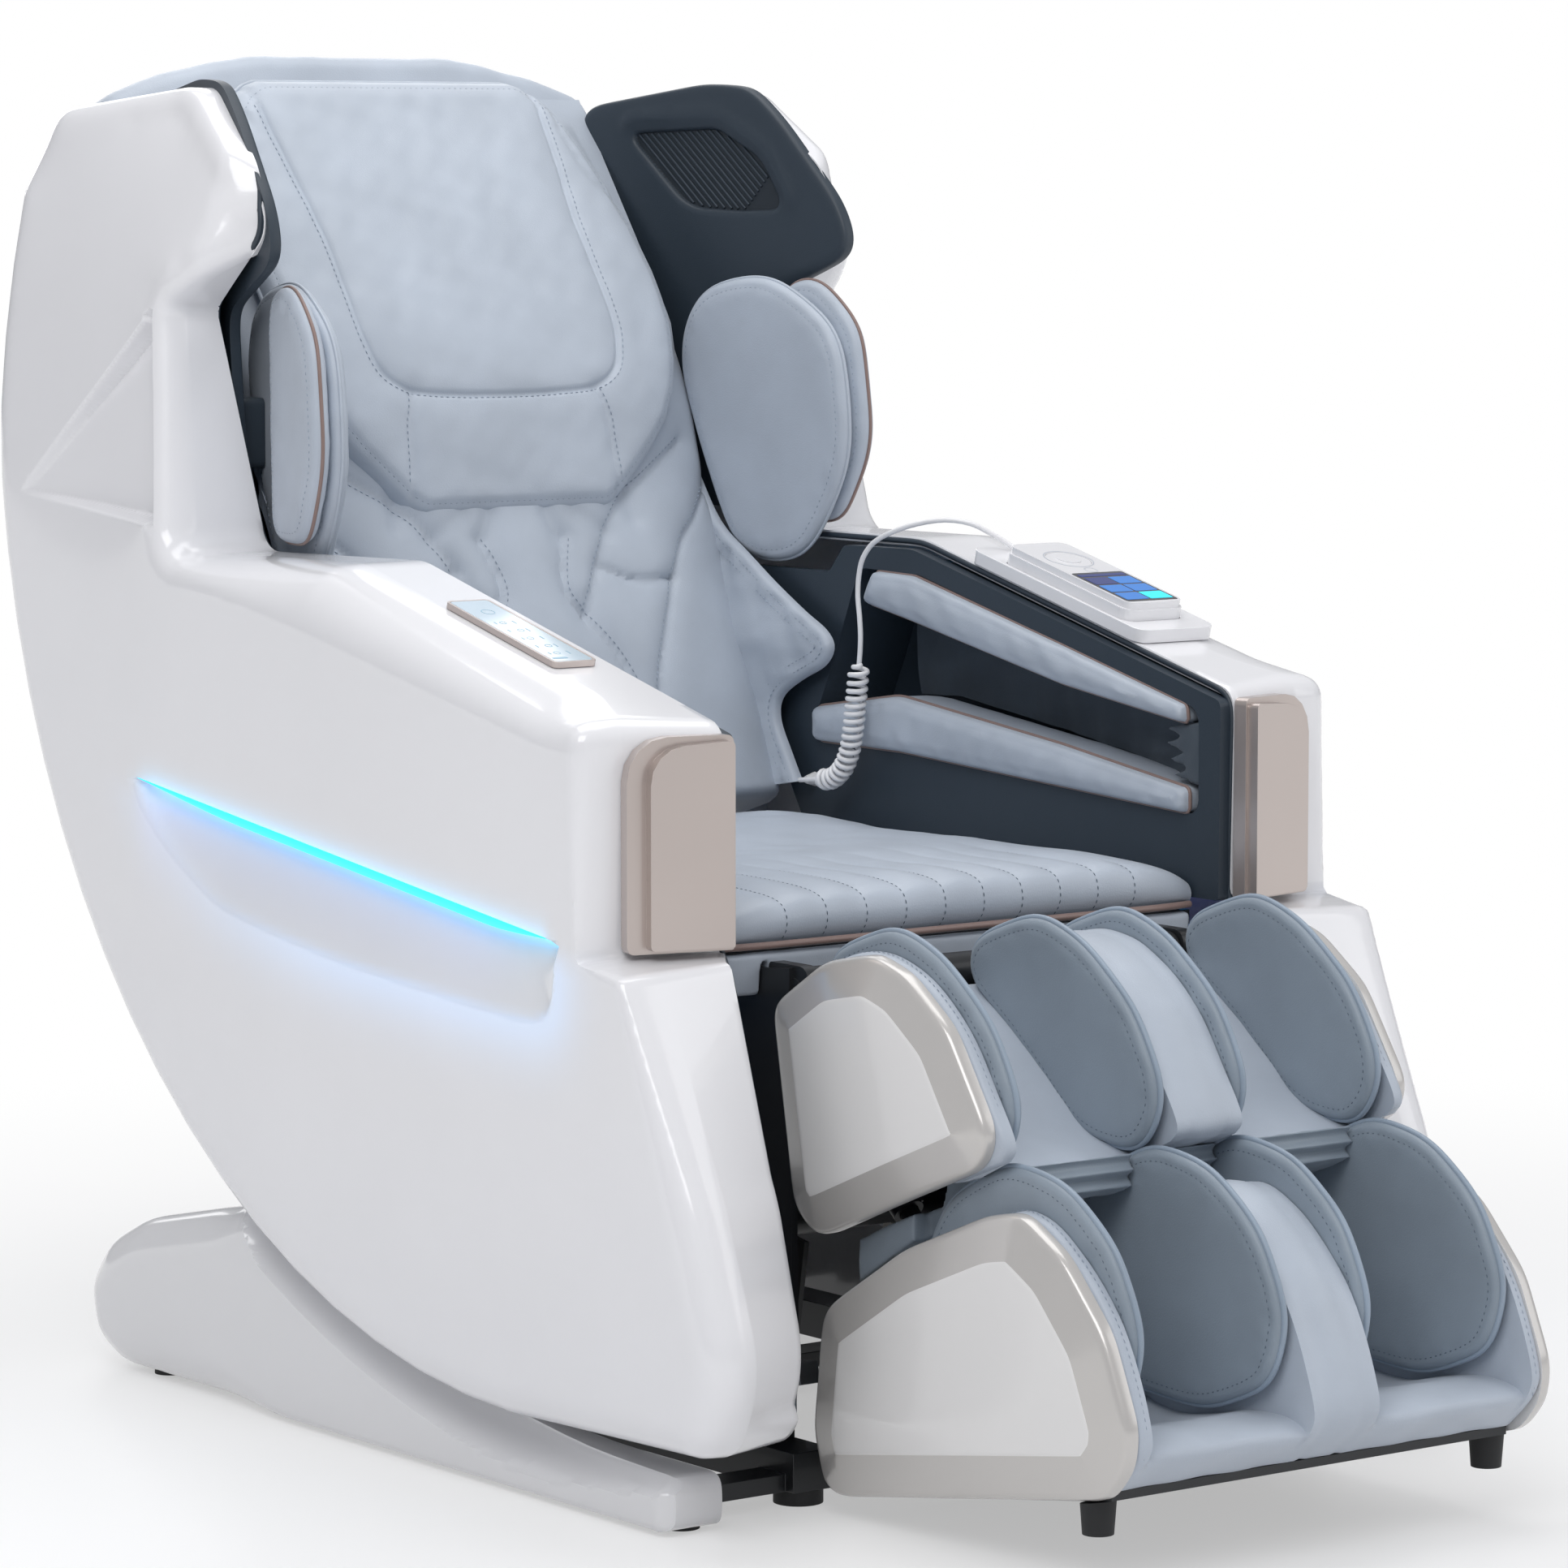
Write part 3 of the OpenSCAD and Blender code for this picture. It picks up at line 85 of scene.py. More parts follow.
def make_camera():
    data = bpy.data.cameras.new("camera")
    data.sensor_width = SENSOR
    data.lens = FOCAL_PX / IMAGE_PX * SENSOR
    data.clip_start, data.clip_end = 0.1, 60
    cam = bpy.data.objects.new("camera", data)
    bpy.context.scene.collection.objects.link(cam)
    cam.location = [c * MM for c in CAM_AT]
    cam.rotation_euler = (math.pi / 2 - CAM_PITCH, 0, CAM_AZ)
    bpy.context.scene.camera = cam


make_camera()


# ---------------------------------------------------------------- outlines
def fillet(a, b, c, r, n):
    if r <= 0:
        return [b]
    u, v = (a - b) / np.linalg.norm(a - b), (c - b) / np.linalg.norm(c - b)
    half = math.acos(max(-1, min(1, float(u @ v)))) / 2
    d = r / math.tan(half)
    mid = u + v
    m = b + mid / np.linalg.norm(mid) * r / math.sin(half)
    s, e = b + u * d - m, b + v * d - m
    a0, a1 = math.atan2(s[1], s[0]), math.atan2(e[1], e[0])
    turn = (a1 - a0 + math.pi) % (2 * math.pi) - math.pi
    return [m + r * A([math.cos(a0 + turn * i / n), math.sin(a0 + turn * i / n)]) for i in range(n + 1)]


def rounded(v, n=8):
    k = len(v)
    p = [A(q[:2], float) for q in v]
    return A([f for i in range(k) for f in fillet(p[i - 1], p[i], p[(i + 1) % k], v[i][2], n)])


def resample(p, step, closed=True):
    p = A(p, float)
    q = np.vstack([p, p[:1]]) if closed else p
    s = np.r_[0, np.cumsum(np.linalg.norm(np.diff(q, axis=0), axis=1))]
    n = max(3, int(round(s[-1] / step)))
    t = np.linspace(0, s[-1], n + 1)[: n if closed else n + 1]
    return np.stack([np.interp(t, s, q[:, i]) for i in range(q.shape[1])], 1)


def on_curve(p, k, u):
    """The Catmull-Rom curve through the points p, at share u of its span k."""
    a, b, c, d = (p[min(max(i, 0), len(p) - 1)] for i in (k - 1, k, k + 1, k + 2))
    return (2 * b + (c - a) * u + (2 * a - 5 * b + 4 * c - d) * u * u + (3 * b - a - 3 * c + d) * u ** 3) / 2


def spline(p, n=8):
    """A curve through the points, n steps a span."""
    p = A(p, float)
    return A([on_curve(p, k, u) for k in range(len(p) - 1) for u in np.arange(n) / n] + [p[-1]])


def soften(p, width, step=4.0):
    """A closed outline with its corners rounded off by a running average of about this width."""
    q = resample(p, step)
    k = max(1, int(width / step))
    w = np.exp(-0.5 * (np.arange(-3 * k, 3 * k + 1) / k) ** 2)
    return sum(c * np.roll(q, j - 3 * k, 0) for j, c in enumerate(w)) / w.sum()


def area(p):
    q = np.roll(p, -1, 0)
    return 0.5 * float(np.sum(p[:, 0] * q[:, 1] - q[:, 0] * p[:, 1]))


def inward(p):
    t = np.roll(p, -1, 0) - np.roll(p, 1, 0)
    t /= np.linalg.norm(t, axis=1)[:, None] + 1e-9
    return (1 if area(p) > 0 else -1) * np.stack([-t[:, 1], t[:, 0]], 1)


def inset(p, d):
    return p + inward(p) * d


def beside(line):
    """Unit normals on the left of an open line's points."""
    t = np.gradient(line, axis=0)
    return np.stack([-t[:, 1], t[:, 0]], 1) / np.linalg.norm(t, axis=1)[:, None]


def to_line(p, line, closed=True):
    """Distance of each point to a polyline, and the index of the nearest segment."""
    line = A(line, float)
    a = line if closed else line[:-1]
    b = np.roll(line, -1, 0) if closed else line[1:]
    ab = b - a
    ll = np.maximum((ab ** 2).sum(1), 1e-12)
    best, where = np.zeros(len(p)), np.zeros(len(p), int)
    for i in range(0, len(p), 3000):
        q = p[i:i + 3000, None, :] - a[None]
        t = np.clip((q * ab).sum(2) / ll, 0, 1)
        d = np.linalg.norm(q - t[..., None] * ab, axis=2)
        where[i:i + 3000] = d.argmin(1)
        best[i:i + 3000] = d.min(1)
    return best, where


def dist(p, line, closed=True):
    return to_line(p, line, closed)[0]


def inside(p, poly):
    x, y = p[:, 0], p[:, 1]
    res = np.zeros(len(p), bool)
    for (x0, y0), (x1, y1) in zip(poly, np.roll(poly, -1, 0)):
        res ^= ((y0 > y) != (y1 > y)) & (x < (x1 - x0) * (y - y0) / (y1 - y0 + 1e-12) + x0)
    return res


def smooth01(t):
    t = np.clip(t, 0, 1)
    return t * t * (3 - 2 * t)


def dome(q, n=2.4):
    return (1 - (1 - np.clip(q, 0, 1)) ** n) ** (1 / n)


def waves(p, scale, seed=0):
    """Smooth noise of about -1 to 1, from a few sines with set directions."""
    rng = np.random.default_rng(seed)
    out = 0
    for _ in range(7):
        k = rng.normal(size=p.shape[1])
        k *= rng.uniform(0.6, 1.7) / np.linalg.norm(k)
        out = out + np.sin(p @ k * (2 * math.pi / scale) + rng.uniform(0, 6.28))
    return out / 3.2


def fill_outline(outline, rings, step, lines=()):
    """Points and triangles inside a closed outline: its own points, rings inside it, a grid, and rows along lines."""
    pts = [outline]
    for r in rings:
        ring = inset(outline, r)
        pts.append(ring[(dist(ring, outline) > 0.93 * r) & inside(ring, outline)])
    last = rings[-1]
    lo, hi = outline.min(0), outline.max(0)
    gx, gy = np.arange(lo[0], hi[0], step), np.arange(lo[1], hi[1], step * 0.87)
    g = A([(x + (j % 2) * step / 2, y) for j, y in enumerate(gy) for x in gx])
    g = g[inside(g, outline)]
    g = g[dist(g, outline) > last + step * 0.55]
    for line in lines:
        g = g[dist(g, line, False) > 11]
        normals = beside(line)
        for off in (-9, -6, -3.6, -1.8, -0.6, 0.6, 1.8, 3.6, 6, 9):
            q = line + normals * off
            clear = (dist(q, outline) > last + 2) & (dist(q, line, False) > abs(off) * 0.95)
            pts.append(q[clear & inside(q, outline)])
    pts.append(g)
    n = len(outline)
    v, _, f, *_ = geometry.delaunay_2d_cdt([Vector(q) for q in np.vstack(pts)], [], [list(range(n))], 1, 1e-5)
    return A([list(q) for q in v]), [list(t) for t in f], n


# ---------------------------------------------------------------- meshes
def add_object(name, verts, faces, mat, body, nodes=(), slot=None, smooth=MOULDED):
    me = bpy.data.meshes.new(name)
    me.from_pydata((np.asarray(verts, float) * MM).tolist(), [], [[int(i) for i in f] for f in faces])
    bm = bmesh.new()
    bm.from_mesh(me)
    bmesh.ops.remove_doubles(bm, verts=bm.verts, dist=2e-6)
    bmesh.ops.recalc_face_normals(bm, faces=bm.faces)
    bm.to_mesh(me)
    bm.free()
    me.shade_smooth()
    me.set_sharp_from_angle(angle=math.radians(smooth))
    ob = bpy.data.objects.new(name, me)
    bpy.context.scene.collection.objects.link(ob)
    me.materials.append(mat)
    if body:
        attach(ob, body)
    if nodes:
        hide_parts(*nodes)
    return ob


def both_sides(name, verts, faces, mat, body, nodes=(), slot=None, smooth=MOULDED):
    """A piece on the left (+X), and its mirror image on the right; {side} in a node's name is filled in."""
    v = np.asarray(verts, float)
    return [add_object(f"{name}_{side}", v * (s, 1, 1), faces, mat, body, [node.format(side=side) for node in nodes],
                       slot, smooth) for side, s in SIDES]


def grid_faces(rows, cols, wrap=False):
    return [(i * cols + j, i * cols + (j + 1) % cols, (i + 1) * cols + (j + 1) % cols, (i + 1) * cols + j)
            for i in range(rows - 1) for j in range(cols if wrap else cols - 1)]


def loft_faces(rows, cols):
    """Closed rows of points joined one to the next, and the two ends."""
    return grid_faces(rows, cols, True) + [list(range(cols))[::-1], [(rows - 1) * cols + j for j in range(cols)]]


def wall(ring, k):
    """Faces from a closed row of points to the same row k points further on."""
    ring = list(ring)
    return [(a, b, b + k, a + k) for a, b in zip(ring, ring[1:] + ring[:1])]


def sheet_faces(rows, cols):
    """A grid of points given twice, front then back, with the wall around it."""
    front, k = grid_faces(rows, cols), rows * cols
    ring = list(range(cols)) + [r * cols + cols - 1 for r in range(1, rows)] + \
        [(rows - 1) * cols + c for c in range(cols - 2, -1, -1)] + [r * cols for r in range(rows - 2, 0, -1)]
    return front + [[i + k for i in f][::-1] for f in front] + wall(ring, k)


def tube(path, r, sides=10, closed=False):
    p = A(path, float)
    t = (np.roll(p, -1, 0) - np.roll(p, 1, 0)) if closed else np.gradient(p, axis=0)
    t /= np.linalg.norm(t, axis=1)[:, None] + 1e-12
    n = np.cross(t[0], [0.3, 0.2, 1])
    n /= np.linalg.norm(n)
    rs = np.broadcast_to(r, len(p))
    verts, ang = [], np.arange(sides) * 2 * math.pi / sides
    for i in range(len(p)):
        n = n - (n @ t[i]) * t[i]
        n /= np.linalg.norm(n)
        b = np.cross(t[i], n)
        verts.append(p[i] + rs[i] * (np.cos(ang)[:, None] * n + np.sin(ang)[:, None] * b))
    if not closed:
        return np.vstack(verts), loft_faces(len(p), sides)
    k = len(p) - 1
    turn = int(np.argmin([np.linalg.norm(verts[0] - np.roll(verts[k], -s, 0)) for s in range(sides)]))
    last = [(k * sides + (j + turn) % sides, k * sides + (j + 1 + turn) % sides, (j + 1) % sides, j)
            for j in range(sides)]
    return np.vstack(verts), grid_faces(len(p), sides, True) + last


def at_x(x, p):
    """Points (y, z) placed at x: one number, or one for each."""
    return np.column_stack([np.broadcast_to(x, len(p)), p])


def two_skins(tris, k):
    """A sheet's faces, and the same facing the other way k points further on."""
    return list(tris) + [[i + k for i in f][::-1] for f in tris]


def merge(parts):
    verts, faces, k = [], [], 0
    for v, f in parts:
        verts.append(v)
        faces += [[i + k for i in q] for q in f]
        k += len(v)
    return np.vstack(verts), faces


def stitch_mesh(path, normals, pitch=6.0, length=4.0, r=0.55, closed=False):
    """Small raised threads along a path that lies on a surface."""
    p = A(path, float)
    q = np.vstack([p, p[:1]]) if closed else p
    nn = np.broadcast_to(normals, p.shape)
    nn = np.vstack([nn, nn[:1]]) if closed else nn
    s = np.r_[0, np.cumsum(np.linalg.norm(np.diff(q, axis=0), axis=1))]
    at = np.arange(pitch / 2, s[-1], pitch)
    get = lambda arr, x: np.stack([np.interp(x, s, arr[:, i]) for i in range(3)], 1)
    c, n = get(q, at), get(nn, at)
    t = get(q, np.minimum(at + 1, s[-1])) - get(q, np.maximum(at - 1, 0))
    t /= np.linalg.norm(t, axis=1)[:, None] + 1e-9
    n /= np.linalg.norm(n, axis=1)[:, None] + 1e-9
    b = np.cross(t, n)
    verts = np.stack([c - t * length / 2 - n * r * 0.4, c + t * length / 2 - n * r * 0.4,
                      c + n * r + t * length * 0.2, c + n * r - t * length * 0.2,
                      c + b * r, c - b * r, c - n * r], 1).reshape(-1, 3)
    tri = [(0, 4, 3), (3, 4, 2), (2, 4, 1), (0, 3, 5), (3, 2, 5), (2, 1, 5), (0, 6, 4), (4, 6, 1), (0, 5, 6),
           (5, 1, 6)]
    return verts, [[k * 7 + i for i in f] for k in range(len(at)) for f in tri]


def cushion(name, verts, faces, mat, body, node):
    ob = add_object(name, verts, faces, mat, body, (node,), "leather", SEWN)


def trim(name, parts, mat, make=add_object, body="chair", slot="leather"):
    """Threads, a welt or a piping: its parts as one piece that rides a body and replaces no node."""
    v, f = merge(parts)
    make(name, v, f, mat, body, (), slot, SEWN)


# ---------------------------------------------------------------- materials
def nodes_of(mat):
    return mat.node_tree.nodes, mat.node_tree.links


def material(name, colour, rough=0.5, metal=0.0, coat=0.0, sheen=0.0, spec=0.5):
    m = bpy.data.materials.new(name)
    m.use_nodes = True
    b = m.node_tree.nodes["Principled BSDF"]
    b.inputs["Base Color"].default_value = (*colour, 1)
    b.inputs["Roughness"].default_value = rough
    b.inputs["Metallic"].default_value = metal
    b.inputs["Coat Weight"].default_value = coat
    b.inputs["Coat Roughness"].default_value = 0.06
    b.inputs["Sheen Weight"].default_value = sheen
    b.inputs["Specular IOR Level"].default_value = spec
    return m


def srgb(r, g, b):
    return tuple(((c / 255 + 0.055) / 1.055) ** 2.4 if c > 10 else c / 255 / 12.92 for c in (r, g, b))


def texture(mat, kind, scale, detail=3.0):
    n, l = nodes_of(mat)
    co = n.new("ShaderNodeTexCoord")
    t = n.new("ShaderNodeTexNoise" if kind == "noise" else "ShaderNodeTexVoronoi")
    t.inputs["Scale"].default_value = scale
    if kind == "noise":
        t.inputs["Detail"].default_value = detail
    l.new(co.outputs["Object"], t.inputs["Vector"])
    return t.outputs["Fac"] if kind == "noise" else t.outputs["Distance"]


def vary_colour(mat, low, high, scale, detail=3.0):
    n, l = nodes_of(mat)
    ramp = n.new("ShaderNodeValToRGB")
    ramp.color_ramp.elements[0].position, ramp.color_ramp.elements[1].position = 0.32, 0.7
    ramp.color_ramp.elements[0].color, ramp.color_ramp.elements[1].color = (*low, 1), (*high, 1)
    l.new(texture(mat, "noise", scale, detail), ramp.inputs["Fac"])
    l.new(ramp.outputs["Color"], n["Principled BSDF"].inputs["Base Color"])


def vary_rough(mat, low, high, scale):
    n, l = nodes_of(mat)
    r = n.new("ShaderNodeMapRange")
    r.inputs["To Min"].default_value, r.inputs["To Max"].default_value = low, high
    l.new(texture(mat, "noise", scale), r.inputs["Value"])
    l.new(r.outputs["Result"], n["Principled BSDF"].inputs["Roughness"])


def bump(mat, parts, strength=0.5):
    """parts: (kind, scale per metre, depth in mm), summed into one bump."""
    n, l = nodes_of(mat)
    last = None
    for kind, scale, depth in parts:
        b = n.new("ShaderNodeBump")
        b.inputs["Strength"].default_value = strength
        b.inputs["Distance"].default_value = depth * MM
        l.new(texture(mat, kind, scale), b.inputs["Height"])
        if last:
            l.new(last, b.inputs["Normal"])
        last = b.outputs["Normal"]
    l.new(last, n["Principled BSDF"].inputs["Normal"])


def lit(mat, colour, strength):
    b = mat.node_tree.nodes["Principled BSDF"]
    b.inputs["Emission Color"].default_value = (*colour, 1)
    b.inputs["Emission Strength"].default_value = strength
    return mat


def leather(name, rgb, dark=0.93, rough=(0.36, 0.5)):
    c = srgb(*rgb)
    m = material(name, c, 0.42, sheen=0.12, spec=0.45)
    vary_colour(m, tuple(x * dark for x in c), tuple(min(1, x * 1.03) for x in c), 14)
    vary_rough(m, *rough, 30)
    bump(m, [("voronoi", 760, 0.16), ("noise", 1900, 0.08), ("noise", 26, 0.5)], 0.5)
    return m


def plastic(name, rgb, rough=(0.12, 0.2), coat=0.5, grain=None, metal=0.0):
    c = srgb(*rgb)
    m = material(name, c, rough[0], metal, coat)
    vary_colour(m, tuple(x * 0.975 for x in c), c, 5)
    vary_rough(m, *rough, 9)
    bump(m, grain or [("noise", 900, 0.012)], 0.4)
    return m


WHITE = plastic("white_gloss", (238, 238, 241))
COVER_WHITE = plastic("cover_white", (233, 232, 231))
BASE_WHITE = plastic("base_white", (230, 230, 232))
SLATE = plastic("slate_plastic", (46, 57, 68), (0.42, 0.52), 0.0, [("voronoi", 900, 0.12), ("noise", 2200, 0.05)])
GRILLE = plastic("grille_plastic", (34, 42, 50), (0.5, 0.6), 0.0, [("noise", 1800, 0.06)])
CHAMPAGNE = plastic("champagne", (198, 187, 182), (0.26, 0.36), 0.3, [("noise", 1500, 0.02)], 0.75)
LEATHER = leather("leather", (182, 191, 203))
LEATHER_DEEP = leather("leather_deep", (142, 154, 166))
PIPING = leather("piping", (140, 118, 112), 0.9, (0.3, 0.4))
FABRIC = leather("fabric_slate", (74, 84, 94), 0.85, (0.6, 0.75))
THREAD = leather("thread", (150, 162, 178), 0.9, (0.5, 0.6))
PEARL = plastic("pearl_ring", (204, 201, 198), (0.2, 0.28), 0.3, None, 0.25)
THREAD_DARK = leather("thread_dark", (84, 98, 112), 0.9, (0.5, 0.6))
WELT = leather("welt", (150, 165, 181), 0.9, (0.34, 0.44))
RUBBER = plastic("rubber", (26, 27, 29), (0.55, 0.7), 0.0, [("noise", 1300, 0.08)])
BLACK_PLASTIC = plastic("black_plastic", (28, 29, 31), (0.38, 0.5), 0.0, [("noise", 1500, 0.05)])
BLACK_STEEL = plastic("black_steel", (40, 42, 45), (0.32, 0.46), 0.15, [("noise", 1100, 0.05)], 0.3)
ZINC = plastic("zinc_steel", (160, 165, 170), (0.28, 0.42), 0.0, [("noise", 300, 0.05)], 0.9)
BRIGHT = plastic("bright_steel", (205, 208, 212), (0.12, 0.22), 0.0, [("noise", 700, 0.02)], 1.0)
NYLON = plastic("nylon", (228, 226, 218), (0.4, 0.5), 0.0, [("noise", 900, 0.03)])
CORD = plastic("cord_white", (240, 240, 242), (0.3, 0.38), 0.1, [("noise", 700, 0.03)])
GLASS_BLUE = plastic("key_glass", (206, 224, 236), (0.05, 0.1), 0.6, [("noise", 30, 0.01)])
SCREEN = plastic("screen_glass", (12, 16, 30), (0.04, 0.08), 0.8, [("noise", 30, 0.01)])

# ---------------------------------------------------------------- handset cord
CORD_D, CURL_D, CURLS = 4.6, 20.0, 20
# the lower lead from its gland, the curls' middle line, and the upper lead to the handset
LOWER = [(239, 290, 500), (231, 287, 500.5), (225, 279, 501.5), (222, 266, 503), (222, 249, 504.9)]
CURL_PATH = A([(222, 248, 505), (222, 229, 507), (222, 213, 517.5), (222, 203, 534), (222, 198, 553),
               (222, 195, 572.5), (222, 192, 592), (222, 189.5, 611.5)])
UPPER = [(222, 189.4, 612.2), (222, 188, 624), (222, 187.5, 638), (222, 189, 654), (222, 191.5, 672),
         (222, 190, 690), (222, 184, 706), (224, 171, 720), (228, 150, 730), (237, 126, 738),
         (250, 103, 742), (265, 86, 739), (280, 76, 730), (291, 68, 722), (295, 61, 717)]


def curl_axis(t):
    """The middle line of the curls, t from 0 to 1."""
    spans = len(CURL_PATH) - 1
    k = min(int(t * spans), spans - 1)
    return on_curve(CURL_PATH, k, t * spans - k)


def curl_point(t):
    d = curl_axis(min(t + 0.03, 1)) - curl_axis(max(t - 0.03, 0))
    d /= np.linalg.norm(d)
    s = A([1.0, 0, 0])
    a = 2 * math.pi * CURLS * t
    opened = min(1, t * CURLS, (1 - t) * CURLS)
    return curl_axis(t) + (CURL_D - CORD_D) / 2 * opened * (math.cos(a) * s + math.sin(a) * np.cross(d, s))


def make_cord():
    steps = CURLS * 16
    curls = A([curl_point(i / steps) for i in range(steps + 1)])
    path = np.vstack([spline(LOWER, 3)[:-1], curls, spline(UPPER, 3)[1:]])
    v, f = tube(path, CORD_D / 2, 10)
    ob = add_object("handset_cord", v, f, CORD, None, ("cord_lower_lead", "cord_curl", "cord_upper_lead"),
                    "cord_white", SEWN)
    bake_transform(ob)


make_cord()

# ---------------------------------------------------------------- side shells
HALF_W, EDGE_X, ARM_X = 386.0, 348.0, 262.0
# the arm's top: its height at one y, and how steeply it rises toward the rear
ARM_TOP_Y, ARM_TOP_Z, ARM_SLOPE = 150, 724, 0.256
# the plane of a head wing's lining, turned about Z at (x, y), and the gap to the shell behind it
WING_X, WING_Y, WING_TURN, WING_GAP = 300, 316, 11.8, 4.5
FLARE = (EDGE_X - ARM_X) * math.tan(math.radians(13))
ARC_C, ARC_R = A([-138.0, 863.0]), 799.0
# y, z, radius, rounding share, rim shift in y and z, rim x, share of the full width outside the rim
SHELL = [(604, 1099, 40, 1, -6, -4, 286, 0.66), (440, 1118, 50, 0.6, 0, 0, 278, 0.3),
         (350, 1052, 60, 0.6, 0, 0, 293, 0.32), (313, 996, 24, 0.6, 0, 0, 308, 0.36),
         (404, 929, 14, 0.7, 0, 0, 304, 0.75), (369, 722, 26, 0.8, 0, 0, ARM_X + 18, 1),
         (ARM_TOP_Y, ARM_TOP_Z, 90, 1, 0, 0, ARM_X, 1), (-248, 622, 20, 0.5, -FLARE, -FLARE * ARM_SLOPE, ARM_X, 1),
         (-244, 441, 4, 0.1, -FLARE, 0, ARM_X, 1), (-301, 434, 10, 0.25, -3, 3, 283, 1),
         (-384, 264, 300, 0.9, 24, 0, 281, 1), (-430, 140, 90, 1, 31, 0, 281, 1), (-398, 71, 40, 1, 20, 0, 281, 1)]
for k in range(24):
    deg = -4 + k * 106 / 23
    a = math.radians(deg)
    SHELL.append((ARC_C[0] + ARC_R * math.sin(a), ARC_C[1] - ARC_R * math.cos(a), 0, 1, 0, 0, 283,
                  1 - 0.2 * max(0, (deg - 86) / 16)))
LED_REAR, LED_FRONT = A([412, 530.4]), A([-200, 454.3])
LED_DIR = (LED_REAR - LED_FRONT) / np.linalg.norm(LED_REAR - LED_FRONT)
LED_UP = A([-LED_DIR[1], LED_DIR[0]])
CONTOUR = spline([(417, 534), (408, 512), (372, 480), (318, 449), (262, 428), (115, 406), (-28, 394), (-150, 386),
                  (-192, 388), (-211, 404), (-214, 452)], 8)
RECESS = A([(404.0, 936.0), (330.0, 742.0), (604.0, 766.0)])
# depths in mm of the arm top's fall, the light scoop and the triangular recess
FALL, SCOOP, SINK = 26, 17, 24
SKIN = 8


def shell_ring_table():
    """The edge outline at 5 mm steps, with each point's shares, rim shift and rim x."""
    out, rows = [], []
    p = [A(q[:2], float) for q in SHELL]
    for i, q in enumerate(SHELL):
        for f in fillet(p[i - 1], p[i], p[(i + 1) % len(SHELL)], q[2], 8):
            out.append(f)
            rows.append(q[3:8])
    return resample(np.hstack([A(out), A(rows, float)]), 5)


RING = shell_ring_table()


def line_side(p, a, b):
    """Signed distance to the line a to b, positive on its left."""
    t = (b - a) / np.linalg.norm(b - a)
    return (p - a) @ A([-t[1], t[0]])


def shell_field():
    """Rim x and width share over the whole face: the edge's values, levelled out evenly across it."""
    p, tris, n = fill_outline(RING[:, :2], [8, 17], 11)
    f = np.zeros((len(p), 2))
    f[:n] = RING[:, [5, 6]]
    near = to_line(p, RING[:, :2])[1]
    f[n:] = RING[near[n:]][:, [5, 6]]
    e = A([(q[i], q[i - 1]) for q in tris for i in range(3)])
    e = np.vstack([e, e[:, ::-1]])
    deg = np.bincount(e[:, 0], minlength=len(p))[:, None] + 1e-9
    for _ in range(300):
        s = np.stack([np.bincount(e[:, 0], f[e[:, 1], c], len(p)) for c in (0, 1)], 1) / deg
        f[n:] = s[n:]
    return p, f


FIELD = shell_field()


def spread(p):
    q, f = FIELD
    out = np.zeros((len(p), 2))
    for i in range(0, len(p), 1500):
        r = np.linalg.norm(p[i:i + 1500, None] - q[None], axis=2)
        w = np.exp(-(r / 8.5) ** 2) + 1e-7 / (r + 1) ** 4
        out[i:i + 1500] = (w @ f) / w.sum(1)[:, None]
    return out


def shell_face(p, d, share):
    """x of the outer face at (y, z) points."""
    y, z = p[:, 0], p[:, 1]
    f = spread(p)
    profile = EDGE_X + (HALF_W - EDGE_X) * dome(d / (34 * share), 2.6)
    x = f[:, 0] + (profile - f[:, 0]) * f[:, 1]
    # the arm's top falls away to a soft ridge on its outer side
    top = ARM_TOP_Z - np.clip(ARM_TOP_Y - y, 0, 500) * ARM_SLOPE
    ridge = 766 + (y - 604) * 0.193
    fall = smooth01((y + 262) / 90) * smooth01((372 - y) / 40)
    q = np.clip((z - ridge + 6) / np.maximum(top - ridge + 6, 6), 0, 1)
    x = x - fall * FALL * q ** 1.7
    # light scoop: an undercut right below the strip, running out at the lower contour
    below = -line_side(p, LED_FRONT, LED_REAR)
    zone = np.vstack([CONTOUR, LED_FRONT + LED_DIR * 2, LED_REAR])
    dc = dist(p, CONTOUR, False)
    s = np.clip(below, 0, None) / (np.clip(below, 0, None) + dc + 1e-6)
    x = x - inside(p, zone) * SCOOP * smooth01(below / 3) * (1 - s) ** 0.8 * smooth01(dc / 9)
    # triangular recess: a plane that sinks toward the front, behind the rolled front edge
    u1 = line_side(p, RECESS[2], RECESS[0])
    u2 = line_side(p, RECESS[1], RECESS[2])
    sink = SINK * np.clip((612 - y) / 215, 0, 1) ** 0.8
    return x - sink * smooth01(u1 / 7 + 0.4) * smooth01(u2 / 7 + 0.4) * (y > 300) * smooth01((d - 12) / 9)


def clear_of_wing(v):
    """x of the points, kept outside the head wing's lining where they lie beside it."""
    c, s = math.cos(math.radians(WING_TURN)), math.sin(math.radians(WING_TURN))
    near = (v[:, 2] > 950) & (v[:, 1] > 285) & (v[:, 1] < 560)
    return np.where(near, np.maximum(v[:, 0], WING_X + (WING_GAP - (v[:, 1] - WING_Y) * s) / c), v[:, 0])


def border_loop(faces):
    """The border of a sheet, as one closed row of point numbers."""
    edges = dict.fromkeys((a, b) for f in faces for a, b in zip(f, f[1:] + f[:1]))
    follow = {a: b for a, b in edges if (b, a) not in edges}
    loop = [next(iter(follow))]
    while follow[loop[-1]] != loop[0] and len(loop) <= len(follow):
        loop.append(follow[loop[-1]])
    return loop


